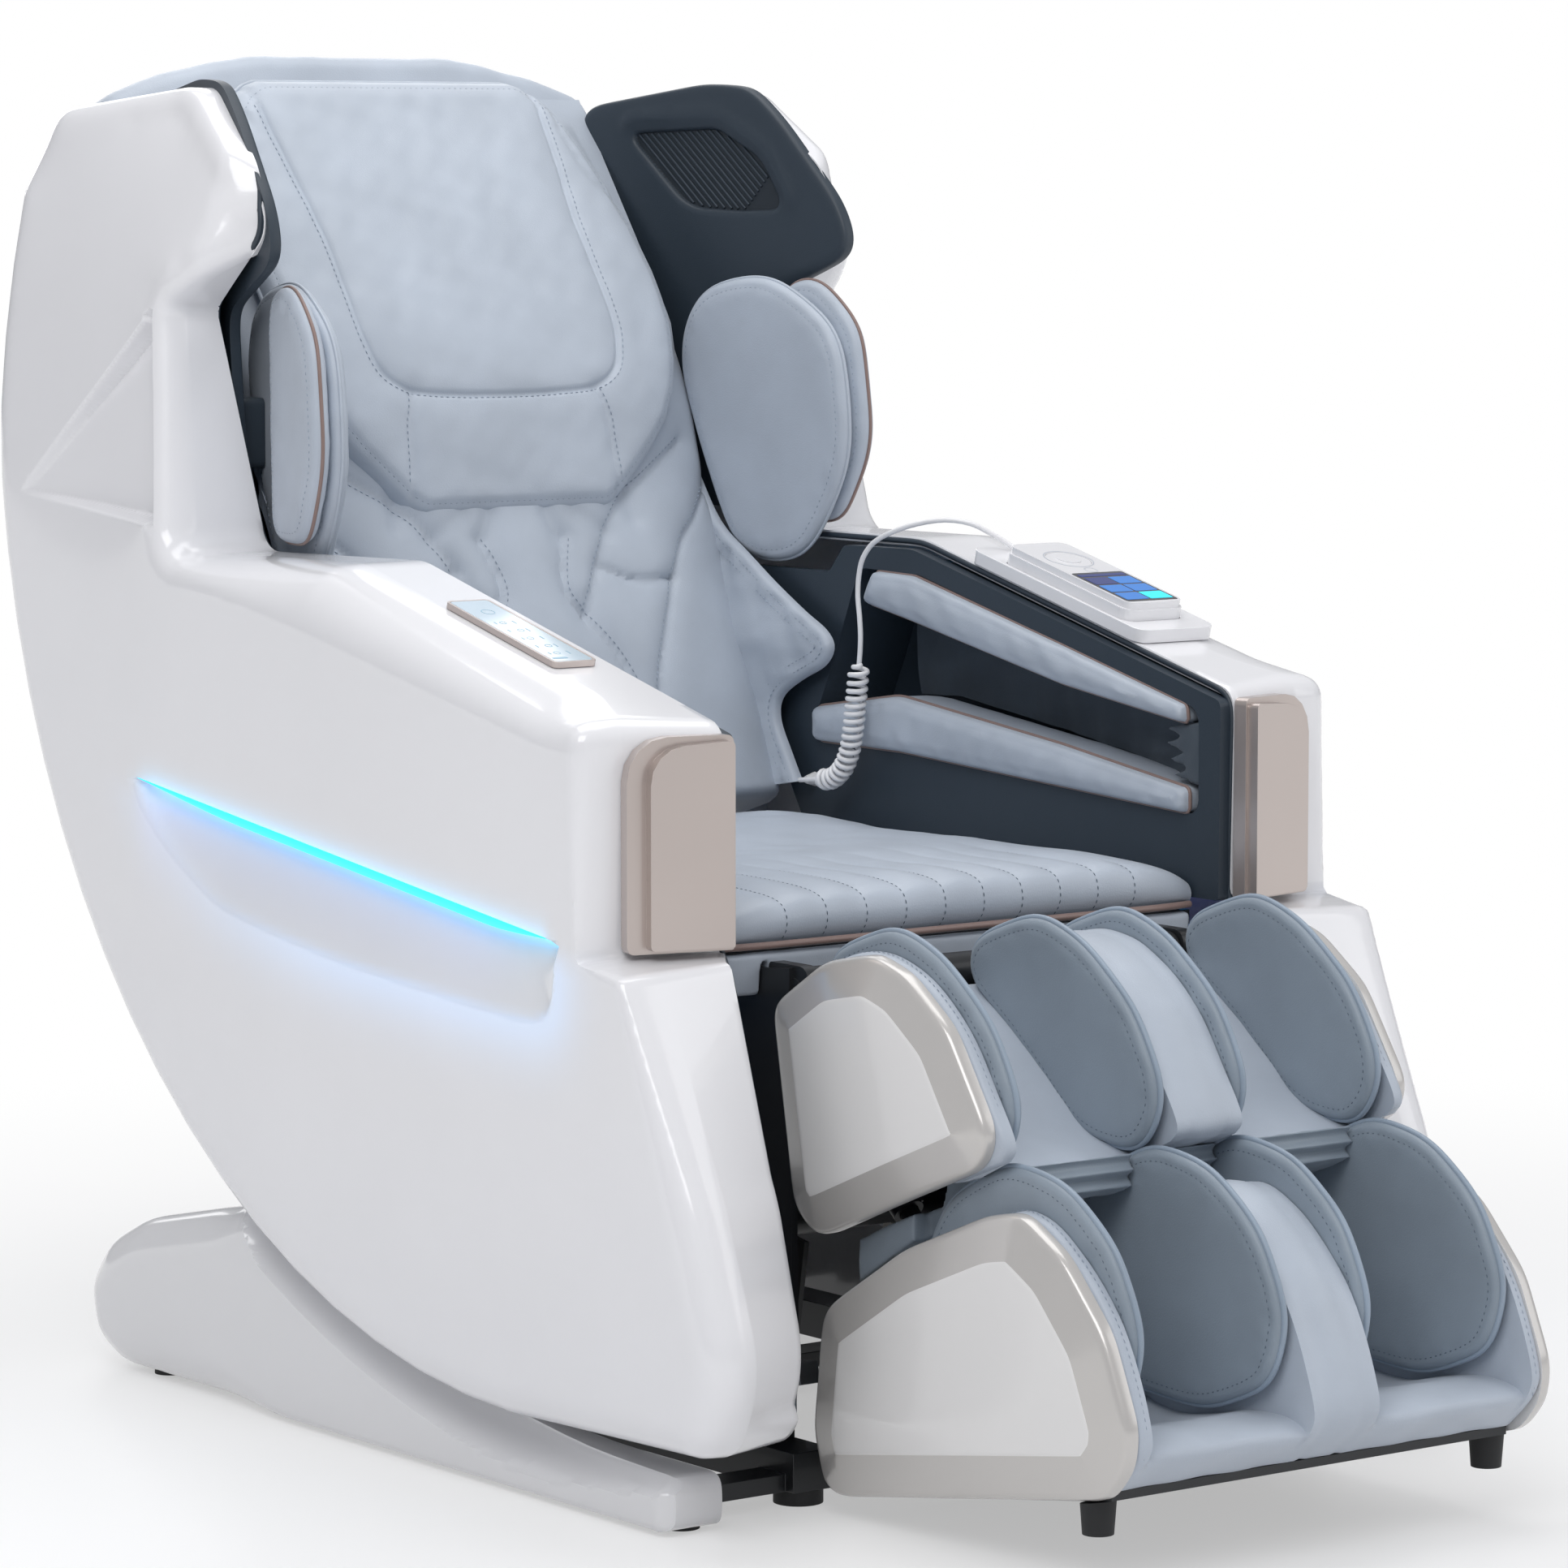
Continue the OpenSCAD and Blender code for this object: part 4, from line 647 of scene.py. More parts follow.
def bridge(v, loop, outer):
    """Triangles between two closed rows of points, always toward the nearer next point."""
    flat = v[:, 1:]
    start = int(np.argmin(np.linalg.norm(flat[outer] - flat[loop[0]], axis=1)))
    if area(flat[loop]) * area(flat[outer]) < 0:
        loop = [loop[0]] + loop[:0:-1]
    out, i, j, m, n = [], 0, 0, len(loop), len(outer)
    while i < m or j < n:
        a, a2 = loop[i % m], loop[(i + 1) % m]
        b, b2 = outer[(start + j) % n], outer[(start + j + 1) % n]
        if j >= n or (i < m and np.linalg.norm(flat[a2] - flat[b]) <= np.linalg.norm(flat[b2] - flat[a])):
            out.append((a, a2, b))
            i += 1
        else:
            out.append((a, b2, b))
            j += 1
    return out


def make_shells():
    edge, share, dy, dz, rim_x = RING[:, :2], RING[:, 2], RING[:, 3], RING[:, 4], RING[:, 5]
    led = resample([LED_FRONT - LED_DIR * 8, LED_REAR + LED_DIR * 4], 5, False)
    crease = resample([(596, 766.0 - 2), (345, 744.0)], 5, False)
    sides_of_recess = [resample(A([RECESS[a], RECESS[2]]) + off, 5, False)
                       for a, off in ((0, (-3, -5)), (0, (3, 1)), (1, (0, 5)), (1, (0, -1)))]
    p2, tris, n = fill_outline(edge, [1.5, 3.2, 5.5, 9, 13, 18, 24], 6.5, [led, crease] + sides_of_recess)
    d, near = to_line(p2, edge)
    x = shell_face(p2, d, np.maximum(share[near], 0.12))
    # band from the edge round to the rim, its turned-in lip, and the wall back to the inner skin
    face = at_x(x, p2)
    ring0 = face[:n]
    into = inward(edge)
    rim = at_x(rim_x, edge + np.column_stack([dy, dz]))
    rings = [ring0 + (rim - ring0) * q for q in (0.04, 0.3, 0.6, 0.9, 0.985)]
    rings += [start + at_x(dx, into * w)
              for start, dx, w in ((rim, 0.0, 1.2), (rim, 1.0, SKIN), (ring0, -12.0, SKIN))]
    v = np.vstack([face] + rings)
    faces, base = list(tris), list(range(n))
    for k in range(len(rings)):
        step = n if k else len(p2)
        faces += wall(base, step)
        base = [i + step for i in base]
    # inner skin: the face again, SKIN further in
    inner = np.nonzero(inside(p2, inset(edge, SKIN + 1.5)))[0]
    again = {int(i): len(v) + k for k, i in enumerate(inner)}
    v = np.vstack([v, at_x(x[inner] - SKIN, p2[inner])])
    v[:, 0] = clear_of_wing(v)
    skin = [[again[i] for i in f][::-1] for f in tris if all(i in again for i in f)]
    faces += skin + bridge(v, border_loop(skin), base)
    # slate trim along the rim
    line = rim + at_x(0.6, into * 4.0)
    line[:, 0] = clear_of_wing(line)
    tv, tf = tube(soften(line, 8), 2.6, 8, True)
    lip = len(p2) + 4 * n
    for side, s in SIDES:
        ob = add_object(f"side_shell_{side}_skin", v * (s, 1, 1), faces, SHELL_LOOK, "chair", (f"side_shell_{side}",),
                        "white_shell", 50)
        # painted light: the strip's glow on the skin, stored as point attributes for the shell's emission
        paint_strip_light(ob)
        ob.data.materials.append(SLATE)
        dark = [min(f.vertices) >= lip and f.center.z > 0.77 and f.center.y > 0.27 for f in ob.data.polygons]
        ob.data.polygons.foreach_set("material_index", A(dark).astype(np.int32))
        add_object(f"shell_trim_{side}", tv * (s, 1, 1), tf, SLATE, "chair", (), "slate_plastic", SEWN)


def paint_strip_light(ob):
    """Painted light of the strip on the skin, kept as emission weights: beside the strip, on the scoop's floor and
    around its lower contour.
    """
    co = A([v.co for v in ob.data.vertices]) / MM
    p = co[:, 1:]
    below = -line_side(p, LED_FRONT, LED_REAR)
    along = (p - LED_FRONT) @ LED_DIR
    outer = np.abs(co[:, 0]) > EDGE_X + 2
    ends = smooth01((along + 14) / 24) * smooth01((628 - along) / 50)
    zone = inside(p, np.vstack([CONTOUR, LED_FRONT, LED_REAR]))
    dc = dist(p, CONTOUR, False)
    near = np.exp(-(np.abs(below - 2) / 8) ** 1.2) * ends * outer
    painted_violet_spill = np.exp(-np.clip(below - 4, 0, None) / 26) * ends * outer * (below > 0) * smooth01((along - 10) / 120)
    out = np.where(zone, np.exp(-(dc / 5) ** 2), np.exp(-(dc / 30) ** 1.6))
    painted_low_spill = out * outer * (below > -4) * smooth01((below + 4) / 30) * (0.35 + 0.65 * smooth01((560 - along) / 300))
    for name, val in (("painted_light_near", near), ("painted_light_mid", painted_violet_spill), ("painted_light_low", painted_low_spill)):
        layer = ob.data.attributes.new(name, "FLOAT", "POINT")
        layer.data.foreach_set("value", val.astype(np.float32))


# the shell's emission is painted light, the strip's glow on its skin, read from the painted light attributes
def shell_material():
    m = plastic("white_shell_gloss", (239, 239, 242))
    n, l = nodes_of(m)
    total = None
    for name, colour, power in (("painted_light_near", (0.0, 0.55, 1.0), 0.75), ("painted_light_mid", (0.12, 0.17, 0.85), 0.34),
                                ("painted_light_low", (0.06, 0.33, 0.75), 0.34)):
        a, c = n.new("ShaderNodeAttribute"), n.new("ShaderNodeVectorMath")
        a.attribute_name, c.operation = name, "SCALE"
        c.inputs[0].default_value = [x * power for x in colour]
        l.new(a.outputs["Fac"], c.inputs["Scale"])
        last, total = total, c.outputs[0]
        if last:
            s = n.new("ShaderNodeVectorMath")
            l.new(last, s.inputs[0])
            l.new(total, s.inputs[1])
            total = s.outputs[0]
    l.new(total, n["Principled BSDF"].inputs["Emission Color"])
    n["Principled BSDF"].inputs["Emission Strength"].default_value = 1.0
    return m


SHELL_LOOK = shell_material()
make_shells()


def make_strips():
    """The tapered light strips, lying in the undercut of the scoops."""
    line = resample([LED_FRONT, LED_REAR], 6, False)
    k = np.arange(len(line)) / (len(line) - 1)
    r = 4.6 * np.minimum(smooth01(k / 0.16 + 0.1), smooth01((1 - k) / 0.3 + 0.06)) ** 0.7
    above = line + LED_UP * 2.5
    d, near = to_line(above, RING[:, :2])
    x = shell_face(above, d, RING[near, 2])
    v, f = tube(at_x(x - r - 0.6, line - LED_UP * (r * 0.9)[:, None]), r, 12)
    both_sides("light_strip", v, f, LED, "chair", ("light_strips",), None, SEWN)


LED = lit(material("led", (0.05, 0.5, 0.7)), (0.03, 0.62, 1.0), 1.25)
make_strips()


# ---------------------------------------------------------------- moulded covers
def cover(name, outline, x0, height, body, nodes, mat, slot, rings, step):
    """A closed moulding on each side: flat inside at x0, its outer face at height(d, p) over the outline."""
    p2, tris, n = fill_outline(outline, rings, step)
    v = np.vstack([at_x(height(dist(p2, outline), p2), p2), at_x(x0, p2[:n])])
    faces = list(tris) + wall(range(n), len(p2)) + [[len(p2) + i for i in range(n)]]
    return both_sides(name, v, faces, mat, body, nodes, slot)


# base runners
RUN_IN, RUN_OUT = 312.0, 366.0
RUN_FRONT, RUN_FLOOR = -331, 4
TROUGH_R = ARC_R + 267


def trough_z(y):
    """The runner's upper face under the shell, an arc about the tilt's centre."""
    return 46 + TROUGH_R - math.sqrt(TROUGH_R ** 2 - (y + 230) ** 2)


TROUGH_LINE = A([(y, trough_z(y)) for y in range(300, -331, -10)])
RUNNER = soften(resample(rounded(
    [(RUN_FRONT, RUN_FLOOR, 3), (500, RUN_FLOOR, 30), (540, 22, 30), (552, 74, 34), (520, 113, 50), (463, 139, 120),
     (352, 162, 200), (290, trough_z(290) - 7.4, 12)] + [(y, trough_z(y), 0) for y in range(262, -231, -41)]
    + [(RUN_FRONT, 46, 5)], 6), 5), 9)


def runner_height(d, p):
    """Flat outer face with a plump rear, and a hollow under the shell ending at a soft ridge."""
    y = p[:, 0]
    do = np.minimum(dist(p, RUNNER[RUNNER[:, 0] > 285], False),
                    dist(p, A([(RUN_FRONT, RUN_FLOOR), (520, RUN_FLOOR)]), False))
    rear = smooth01((y - 200) / 140)
    plain = RUN_OUT - (5 + 25 * rear) * (1 - dome(do / (7 + 30 * rear), 2.2))
    wide = 4 + 26 * smooth01((306 - y) / 60) * (0.45 + 0.55 * smooth01((y - RUN_FRONT) / 250))
    q = np.clip(dist(p, TROUGH_LINE, False) / wide, 0, 1)
    scoop = RUN_OUT - 1.15 * wide * (1 - q ** 1.8) * (y < 306)
    return np.minimum(plain, scoop) - 10 * (1 - smooth01((y - RUN_FRONT) / 14))


cover("runner", RUNNER, RUN_IN, runner_height, "base", ("base_runner_{side}",), BASE_WHITE, "base_plastic",
      [1.2, 3, 6, 10, 15, 20, 24, 26.5, 28.5, 30.5, 33], 5)

# leg rest covers
LEG_X, COVER_T = 224.0, 20.0
CALF_SIDE = [(-262, 396, 14), (-330, 438, 40), (-392, 450, 30), (-434, 438, 30), (-486, 402, 40), (-540, 322, 26),
             (-520, 296, 20), (-430, 260, 60), (-318, 214, 30), (-290, 240, 20)]
FOOT_SIDE = [(-328, 164, 30), (-430, 226, 60), (-530, 266, 40), (-572, 274, 26), (-622, 248, 40), (-672, 196, 50),
             (-702, 128, 30), (-698, 98, 20), (-674, 70, 18), (-350, 16, 14), (-330, 22, 8), (-316, 66, 20)]


def leg_cover(name, corners, body, node, ring_w):
    """A white cover with a pearl band, ring_w wide, around its flat middle."""
    o = soften(inset(resample(rounded(corners, 8), 4), 1.5), 8)
    rings = [1, 2.4, 4.4, 7, 12, 18] + [ring_w + off for off in (-3, -1, 0.5, 2, 4)]

    def height(d, p):
        return LEG_X - 14 + 4.5 * dome(d / 5, 2.2) + 8.8 * np.clip(d / (ring_w + 2), 0, 1)

    for ob in cover(name, o, LEG_X - COVER_T, height, body, (node,), COVER_WHITE, "white_plastic", rings, 7):
        ob.data.materials.append(PEARL)
        mid = A([f.center for f in ob.data.polygons])[:, 1:] / MM
        flat = inside(mid, o) & (dist(mid, o) > ring_w + 0.2)
        ob.data.polygons.foreach_set("material_index", (~flat).astype(np.int32))


leg_cover("calf_cover", CALF_SIDE, "legrest", "calf_covers", 30)
leg_cover("foot_cover", FOOT_SIDE, "foot", "foot_covers", 34)


# ---------------------------------------------------------------- stuffed leaves and pads
def pad(name, outline, place, t, body, node, mat, slot, edge, sew, seed, wrinkle=0.5, step=6, dome_n=2.3,
        piping=None, welt=1.7, side=0.5, thread=THREAD, stitch=True):
    """A sewn pad between two faces, on both sides; place maps (u, v, w) to the frame, w from 0 to t."""
    o = resample(outline, 4)
    p2, tris, _ = fill_outline(o, [0.8, 2, 3.8, 6, 8, 10.5, 14], step)
    d = dist(p2, o)
    leaves = ((t * (1 - side), seed), (-t * side, seed + 9))

    def lift(d, p, sd):
        """The dome's share of a leaf's height, and the sewn groove less the wrinkles beside it."""
        w = wrinkle * waves(p, 34, sd) * np.exp(-((d - sew - 4) / 9) ** 2) * smooth01(d / 3)
        w += 0.35 * wrinkle * waves(p, 90, sd + 5) * smooth01(d / 20)
        return dome(d / edge, dome_n), 0.9 * np.exp(-((d - sew) / 1.5) ** 2) - w

    faces, verts = [], []
    for k, (amp, sd) in enumerate(leaves):
        h, g = lift(d, p2, sd)
        verts.append(place(p2[:, 0], p2[:, 1], t * side + amp * h - np.sign(amp) * g * smooth01(d / 1.5)))
        faces += [[i + k * len(p2) for i in f] for f in tris]
    for ob in both_sides(name, np.vstack(verts), faces, mat, body, (node,), slot, SEWN):
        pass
    if stitch:
        line = resample(inset(resample(outline, 3), sew), 3)
        line = line[dist(line, o) > sew * 0.9]
        parts = []
        for amp, sd in leaves:
            h, g = lift(np.full(len(line), float(sew)), line, sd)
            w = t * side + amp * h - np.sign(amp) * g
            low, path, high = (place(line[:, 0], line[:, 1], w + np.sign(amp) * q) for q in (0, 0.25, 1))
            parts.append(stitch_mesh(path, high - low, closed=True))
        trim(name + "_stitches", parts, thread, both_sides, body, slot)
    rim = resample(o, 4)
    path = place(rim[:, 0], rim[:, 1], np.full(len(rim), t * side))
    trim(name + "_welt", [tube(path, welt, 8, True)], piping or mat, both_sides, body, slot)


def turned(x, y, deg):
    """Places (u, v, w) with w across X: turned about Z by deg at (x, y)."""
    c, s = math.cos(math.radians(deg)), math.sin(math.radians(deg))
    return lambda u, v, w: np.column_stack([x + w * c - u * s, y + w * s + u * c, v])


def across(x0):
    return lambda u, v, w: np.column_stack([x0 + w, u, v])


# shoulder pads: two layers on one plane turned about Z, LAYER apart
SHOULDER_X, SHOULDER_Y, SHOULDER_TURN, SHOULDER_T, LAYER, SOFT = 258.0, 268.0, 10.8, 20.0, 20.4, 0.4
SHOULDER = soften(rounded([(44, 694, 44), (-10, 790, 90), (4, 904, 50), (90, 954, 60), (186, 938, 50), (202, 872, 60),
                           (172, 790, 80), (128, 693, 44)], 8), 20)
SHOULDER_BACK = soften(rounded([(24, 730, 16), (-12, 800, 90), (2, 906, 50), (56, 954, 40), (98, 940, 20),
                                (94, 730, 16)], 8), 14)
front_layer = turned(SHOULDER_X, SHOULDER_Y, SHOULDER_TURN)
back_layer = turned(SHOULDER_X + LAYER / math.cos(math.radians(SHOULDER_TURN)), SHOULDER_Y, SHOULDER_TURN)
pad("shoulder_pad_front", SHOULDER, front_layer, SHOULDER_T, "chair", "shoulder_pads_front", LEATHER, "leather",
    edge=18, sew=9, seed=3)
pad("shoulder_pad_back", SHOULDER_BACK, back_layer, SHOULDER_T, "chair", "shoulder_pads_back", LEATHER, "leather",
    edge=16, sew=9, piping=PIPING, seed=4)

# arm pads: soft wedges in the arm slots, their outlines in y and z, with a brown piping on the crowned front edge
ARM_UP = rounded([(-222, 588, 3), (-60, 610, 80), (150, 652, 60), (216, 664, 6), (200, 692.4, 6), (146, 690.8, 30),
                  (-60, 642.4, 100), (-220, 603.2, 3)], 8)
ARM_LOW = rounded([(-226, 513.2, 4), (160, 534.7, 200), (284, 535.6, 8), (286, 566, 8), (164, 584, 80),
                   (-60, 558, 100), (-226, 534, 5)], 8)


for which, outline, x0, depth, seed in (("upper", ARM_UP, 238, 82, 11), ("lower", ARM_LOW, 236, 84, 14)):
    pad(f"arm_pad_{which}", outline, across(x0), depth, "chair", f"arm_pads_{which}", LEATHER, "leather", edge=22,
        sew=7, wrinkle=1.0, piping=PIPING, side=0.16, seed=seed, dome_n=2.8, stitch=False)

# leaf fins of the leg rest
CALF_LEAF = soften(rounded([(-298, 408, 8), (-300, 438, 20), (-386, 468, 40), (-442, 449, 50), (-502, 404, 50),
                            (-540, 340, 30), (-512, 292, 20), (-440, 298, 60), (-366, 362, 60)], 8), 19)
FOOT_LEAF = soften(rounded([(-414, 196, 8), (-450, 264, 40), (-524, 303, 50), (-592, 293, 50), (-650, 252, 50),
                            (-681, 190, 20), (-664, 136, 20), (-590, 106, 60), (-480, 112, 60)], 8), 19)
FIN_T, CENTRE, FIN_OUT = 16.0, 34.0, 175.0
for label, o, body, node in (("calf", CALF_LEAF, "legrest", "calf_fins"), ("foot", FOOT_LEAF, "foot", "foot_fins")):
    for which, x0 in (("inner", CENTRE), ("outer", FIN_OUT)):
        pad(f"{label}_fin_{which}", o, across(x0), FIN_T, body, node, LEATHER_DEEP, "leather_deep", edge=12, sew=9,
            seed=20 + int(x0), step=7, thread=THREAD_DARK, piping=WELT, welt=2.6)

# ---------------------------------------------------------------- leg pads
PAD_EDGE = LEG_X - COVER_T - SOFT
CALF_RIDGE = [(-298, 386), (-299, 416), (-340, 440), (-392, 447), (-440, 432), (-486, 398), (-520, 352), (-541, 318),
              (-534, 304), (-474, 280), (-438, 294), (-404, 328), (-362, 361), (-326, 378)]
CALF_TROUGH = [(-298, 386), (-299, 401), (-318, 395), (-344, 382), (-376, 361), (-412, 334), (-448, 305), (-486, 291),
               (-500, 287)] + CALF_RIDGE[9:]
FOOT_RIDGE = [(-400, 204), (-430, 220), (-530, 262), (-572, 270), (-620, 246), (-668, 198), (-698, 132), (-696, 104),
              (-668, 76.5), (-560, 58.2), (-480, 45), (-466, 90), (-432, 142), (-408, 180)]
FOOT_TROUGH = [(-400, 204), (-420, 202), (-442, 182), (-470, 130), (-500, 104), (-560, 96), (-640, 112),
               (-692, 104)] + FOOT_RIDGE[8:]
# the first corners of an outline are its soft top, drawn as a curve of SPAN steps each
SOFT_CORNERS, SPAN = 8, 6
# x of the stitches that run along the outer rim
RIM_X = 196.5


def slice_line(pts):
    return np.vstack([spline(pts[:SOFT_CORNERS + 1], SPAN), A(pts[SOFT_CORNERS + 1:], float)])


def trough_pad(name, ridge, trough, body, node):
    """Slices across X between the ridge and trough outlines: ridges at the sides and middle, a well on each side."""
    outer, inner = FIN_OUT + FIN_T + SOFT, CENTRE - SOFT
    share = A([(0, -0.03), (inner - 0.5, 0), (inner, 1), ((FIN_OUT + CENTRE + FIN_T) / 2 - 1, 1.04), (outer, 1),
               (outer + 0.5, 0)])
    xs = [PAD_EDGE, PAD_EDGE - 1.5, PAD_EDGE - 4, PAD_EDGE - 8, outer + 0.5, outer]
    xs += list(np.linspace(outer, inner, 26)[1:]) + [inner - 0.5, 29, 24, 18, 12, 6, 0]
    xs = A(xs + [-x for x in xs[-2::-1]])
    r, t = slice_line(ridge), slice_line(trough)
    c = r.mean(0)
    rows = []
    for x, b in zip(xs, np.interp(np.abs(xs), share[:, 0], share[:, 1])):
        q = r + (t - r) * b
        m = abs(x)
        e = PAD_EDGE - m
        pull = 7 * (1 - dome(e / 9)) if e < 9 else 0
        # a sewn groove on either side of the middle ridge
        pull += 1.6 * math.exp(-((m - 17) / 1.8) ** 2) if m < 34 else 0
        q = q + (c - q) / np.linalg.norm(c - q, axis=1)[:, None] * pull
        rows.append(at_x(x, q))
    v = np.vstack(rows)
    n, k = len(r), SPAN * SOFT_CORNERS + 1
    top = np.tile(np.r_[np.ones(k), np.zeros(n - k)], len(xs)) * (np.abs(v[:, 0]) < PAD_EDGE - 1)
    v[:, 1:] += (0.9 * waves(v, 60, 7) * top)[:, None] * A([0.5, 0.8])
    cushion(name, v, loft_faces(len(xs), n), LEATHER, body, node)


def rim_stitches(name, ridge, body):
    line = spline(ridge, 6)
    c = line.mean(0)
    out = (line - c) / np.linalg.norm(line - c, axis=1)[:, None]
    trim(name, [stitch_mesh(at_x(RIM_X, line + out * 0.3), at_x(0.0, out))], THREAD, both_sides, body)


trough_pad("calf_cushion", CALF_RIDGE, CALF_TROUGH, "legrest", "calf_pad")
trough_pad("foot_cushion", FOOT_RIDGE, FOOT_TROUGH, "foot", "foot_pad")
rim_stitches("calf_rim_stitches", CALF_RIDGE[1:8], "legrest")
rim_stitches("foot_rim_stitches", FOOT_RIDGE[1:8], "foot")

# ---------------------------------------------------------------- backrest
LEAN = math.radians(13)
FOOT_Y, FOOT_Z = 395.0, 502.0
BACK_W, BACK_LEN, HEAD_Y, HEAD_T = 236.0, 649.0, -34.4, 30.0
BACK_LOW, BACK_TOP = -42, BACK_LEN - 2
# where the backrest starts to bend, over what length, and its slope beyond
BEND_FROM, BEND_LEN, BEND = 315, 130, 0.42


def on_back(x, y, z):
    return np.column_stack([x, FOOT_Y + y * math.cos(LEAN) + z * math.sin(LEAN),
                            FOOT_Z - y * math.sin(LEAN) + z * math.cos(LEAN)])


BACK_OUT = on_back(A([0]), A([-1]), A([0])) - on_back(A([0]), A([0]), A([0]))


def bend(z):
    """How far the backrest's upper part leans away from its straight lower part."""
    u = np.asarray(z, float) - BEND_FROM
    return np.where(u <= 0, 0, np.where(u < BEND_LEN, BEND * u * u / (2 * BEND_LEN), BEND * (u - BEND_LEN / 2)))


def back_rear(z):
    return np.maximum(6, bend(z) - 10)


# the back cushion's front line (z, y), and the head pad's half width along its height (z, x)
FRONT = A([(-44, -98), (60, -82), (160, -62), (233, -50), (260, -46), (400, -36), (560, -32), (620, -28),
           (656, -12)], float)
SLICES = A([(236, 96), (240, 106), (248, 117), (262, 132), (290, 160), (312, 178), (340, 192), (370, 201), (400, 207),
            (430, 210), (460, 211), (500, 208), (545, 200), (590, 188), (629, 173), (643, 160), (652, 146),
            (656, 134)], float)
HEAD = np.vstack([SLICES[:, ::-1], SLICES[::-1, ::-1] * (-1, 1)])
SEAM_V = [(46, 214), (33, 166), (51, 137), (75, 96), (92, 40), (100, -20)]
SEAM_B = [(51, 137), (76, 186), (112, 238), (158, 270), (206, 300)]
SEAM_C = [(236, 262), (205, 228), (180, 206), (160, 172), (136, 128), (114, 79), (104, 30)]
CREASE = [(78, 184), (112, 169), (160, 171)]


def mirror(line):
    return [(-x, z) for x, z in line]


def back_surface(x, z):
    e = np.abs(x) / BACK_W
    y = np.interp(z, FRONT[:, 0], FRONT[:, 1]) + 26 * e ** 5 - 6 * (1 - e * e)
    p = np.column_stack([np.abs(x), z])
    for line, wide, deep in ((SEAM_V, 16, 7), (SEAM_B, 16, 7), (SEAM_C, 12, 5), (CREASE, 9, 4)):
        d = dist(p, spline(line, 6), False)
        y = y + deep * np.exp(-(d / wide) ** 1.4) + 3.2 * np.exp(-(d / 2.4) ** 2)
    # soft folds hanging below the head pad
    for line, wide, deep in (([(30, 236), (38, 214)], 8, 4), ([(120, 262), (128, 228)], 9, 5),
                             ([(60, 236), (96, 214)], 8, 3)):
        y = y + deep * np.exp(-(dist(p, line, False) / wide) ** 2)
    return y + 1.3 * waves(p * (1, 0.6), 90, 31) * np.clip((300 - z) / 120, 0, 1)


def make_back():
    zs = np.linspace(BACK_LOW, BACK_TOP, 176)
    xs = BACK_W * np.sin(np.linspace(-1, 1, 141) * math.pi / 2 * 0.93) / math.sin(math.pi / 2 * 0.93)
    X, Z = np.meshgrid(xs, zs)
    Y = back_surface(X.ravel(), Z.ravel()).reshape(X.shape)
    under = inside(np.column_stack([X.ravel(), Z.ravel()]), inset(HEAD, 8)).reshape(X.shape)
    Y = np.where(under, np.maximum(Y, HEAD_Y + 1.0), Y) + bend(Z)
    rear = back_rear(Z)
    e = 1 - np.abs(X) / BACK_W
    Y = np.minimum(Y + 10 * (1 - dome(e / 0.05)), rear - 3)
    Y = rear - 3 - (rear - 3 - Y) * np.sqrt(smooth01((BACK_TOP - Z) / 14)) * dome((Z - BACK_LOW) / 16)
    v = np.vstack([on_back(X.ravel(), y.ravel(), Z.ravel()) for y in (Y, rear)])
    cushion("back_cushion", v, sheet_faces(*X.shape), LEATHER, "chair", "back_pad")
    parts = []
    for seam, off in ((SEAM_B, 5), (SEAM_C, -5), (SEAM_V, 5)):
        for line in (seam, mirror(seam)):
            q = resample(spline(line, 6), 3, False)
            q = q + beside(q) * off
            q = q[(np.abs(q[:, 0]) < BACK_W - 8) & ~inside(q, HEAD)]
            if len(q) > 4:
                path = on_back(q[:, 0], back_surface(q[:, 0], q[:, 1]) + bend(q[:, 1]) - 0.3, q[:, 1])
                parts.append(stitch_mesh(path, BACK_OUT))
    trim("back_stitches", parts, THREAD)


make_back()

# side flaps of the back cushion, lying along the inside of the arms: outline in the frame's y and z
FLAP = [(487, 817), (456, 782), (425, 740), (404, 720), (372, 701), (330, 676), (285, 652), (254, 637), (243, 622),
        (256, 605), (290, 590), (318, 573), (322, 552), (306, 524), (290, 499)]
FLAP_REAR = [(330, 492), (372, 505), (395, 560), (420, 660), (450, 740), (500, 824)]
FLAP_X, FLAP_SEAMS = 236.0, (7, 15)


def make_flaps():
    edge = spline(FLAP, 5)
    o = resample(np.vstack([edge, A(FLAP_REAR, float)]), 4)
    p2, tris, n = fill_outline(o, [0.8, 2, 3.8, 6, 9], 6.5)
    d = dist(p2, edge, False)
    reach = smooth01(d / 90)
    g = 1.2 * np.exp(-((d - FLAP_SEAMS[0]) / 1.5) ** 2) + 1.0 * np.exp(-((d - FLAP_SEAMS[1]) / 1.5) ** 2)
    soft = 1.6 * waves(p2, 70, 77) * smooth01(d / 14) + 1.0 * waves(p2, 30, 78) * smooth01(d / 10) * (1 - reach)
    x_in = FLAP_X - 1 - 9 * dome(d / 10, 2.2) - 12 * reach + g + soft
    v = np.vstack([at_x(x_in, p2), at_x(FLAP_X, p2)])
    faces = two_skins(tris, len(p2)) + wall(range(n), len(p2))
    for ob in both_sides("back_flap", v, faces, LEATHER, "chair", (), "leather", SEWN):
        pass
    line = resample(edge, 3, False)
    normals = beside(line)
    normals *= 1 if inside(line[60:61] + normals[60:61] * 8, o)[0] else -1
    parts = []
    for off in FLAP_SEAMS:
        q = line + normals * off
        q = q[(dist(q, edge, False) > off * 0.9) & inside(q, o)]
        x = FLAP_X - 1 - 9 * dome(A([off / 10.0]), 2.2)[0] - 12 * smooth01(off / 90) + 0.6
        parts.append(stitch_mesh(at_x(x, q), (-1.0, 0.0, 0.0)))
    trim("back_flap_stitches", parts, THREAD, both_sides)


make_flaps()


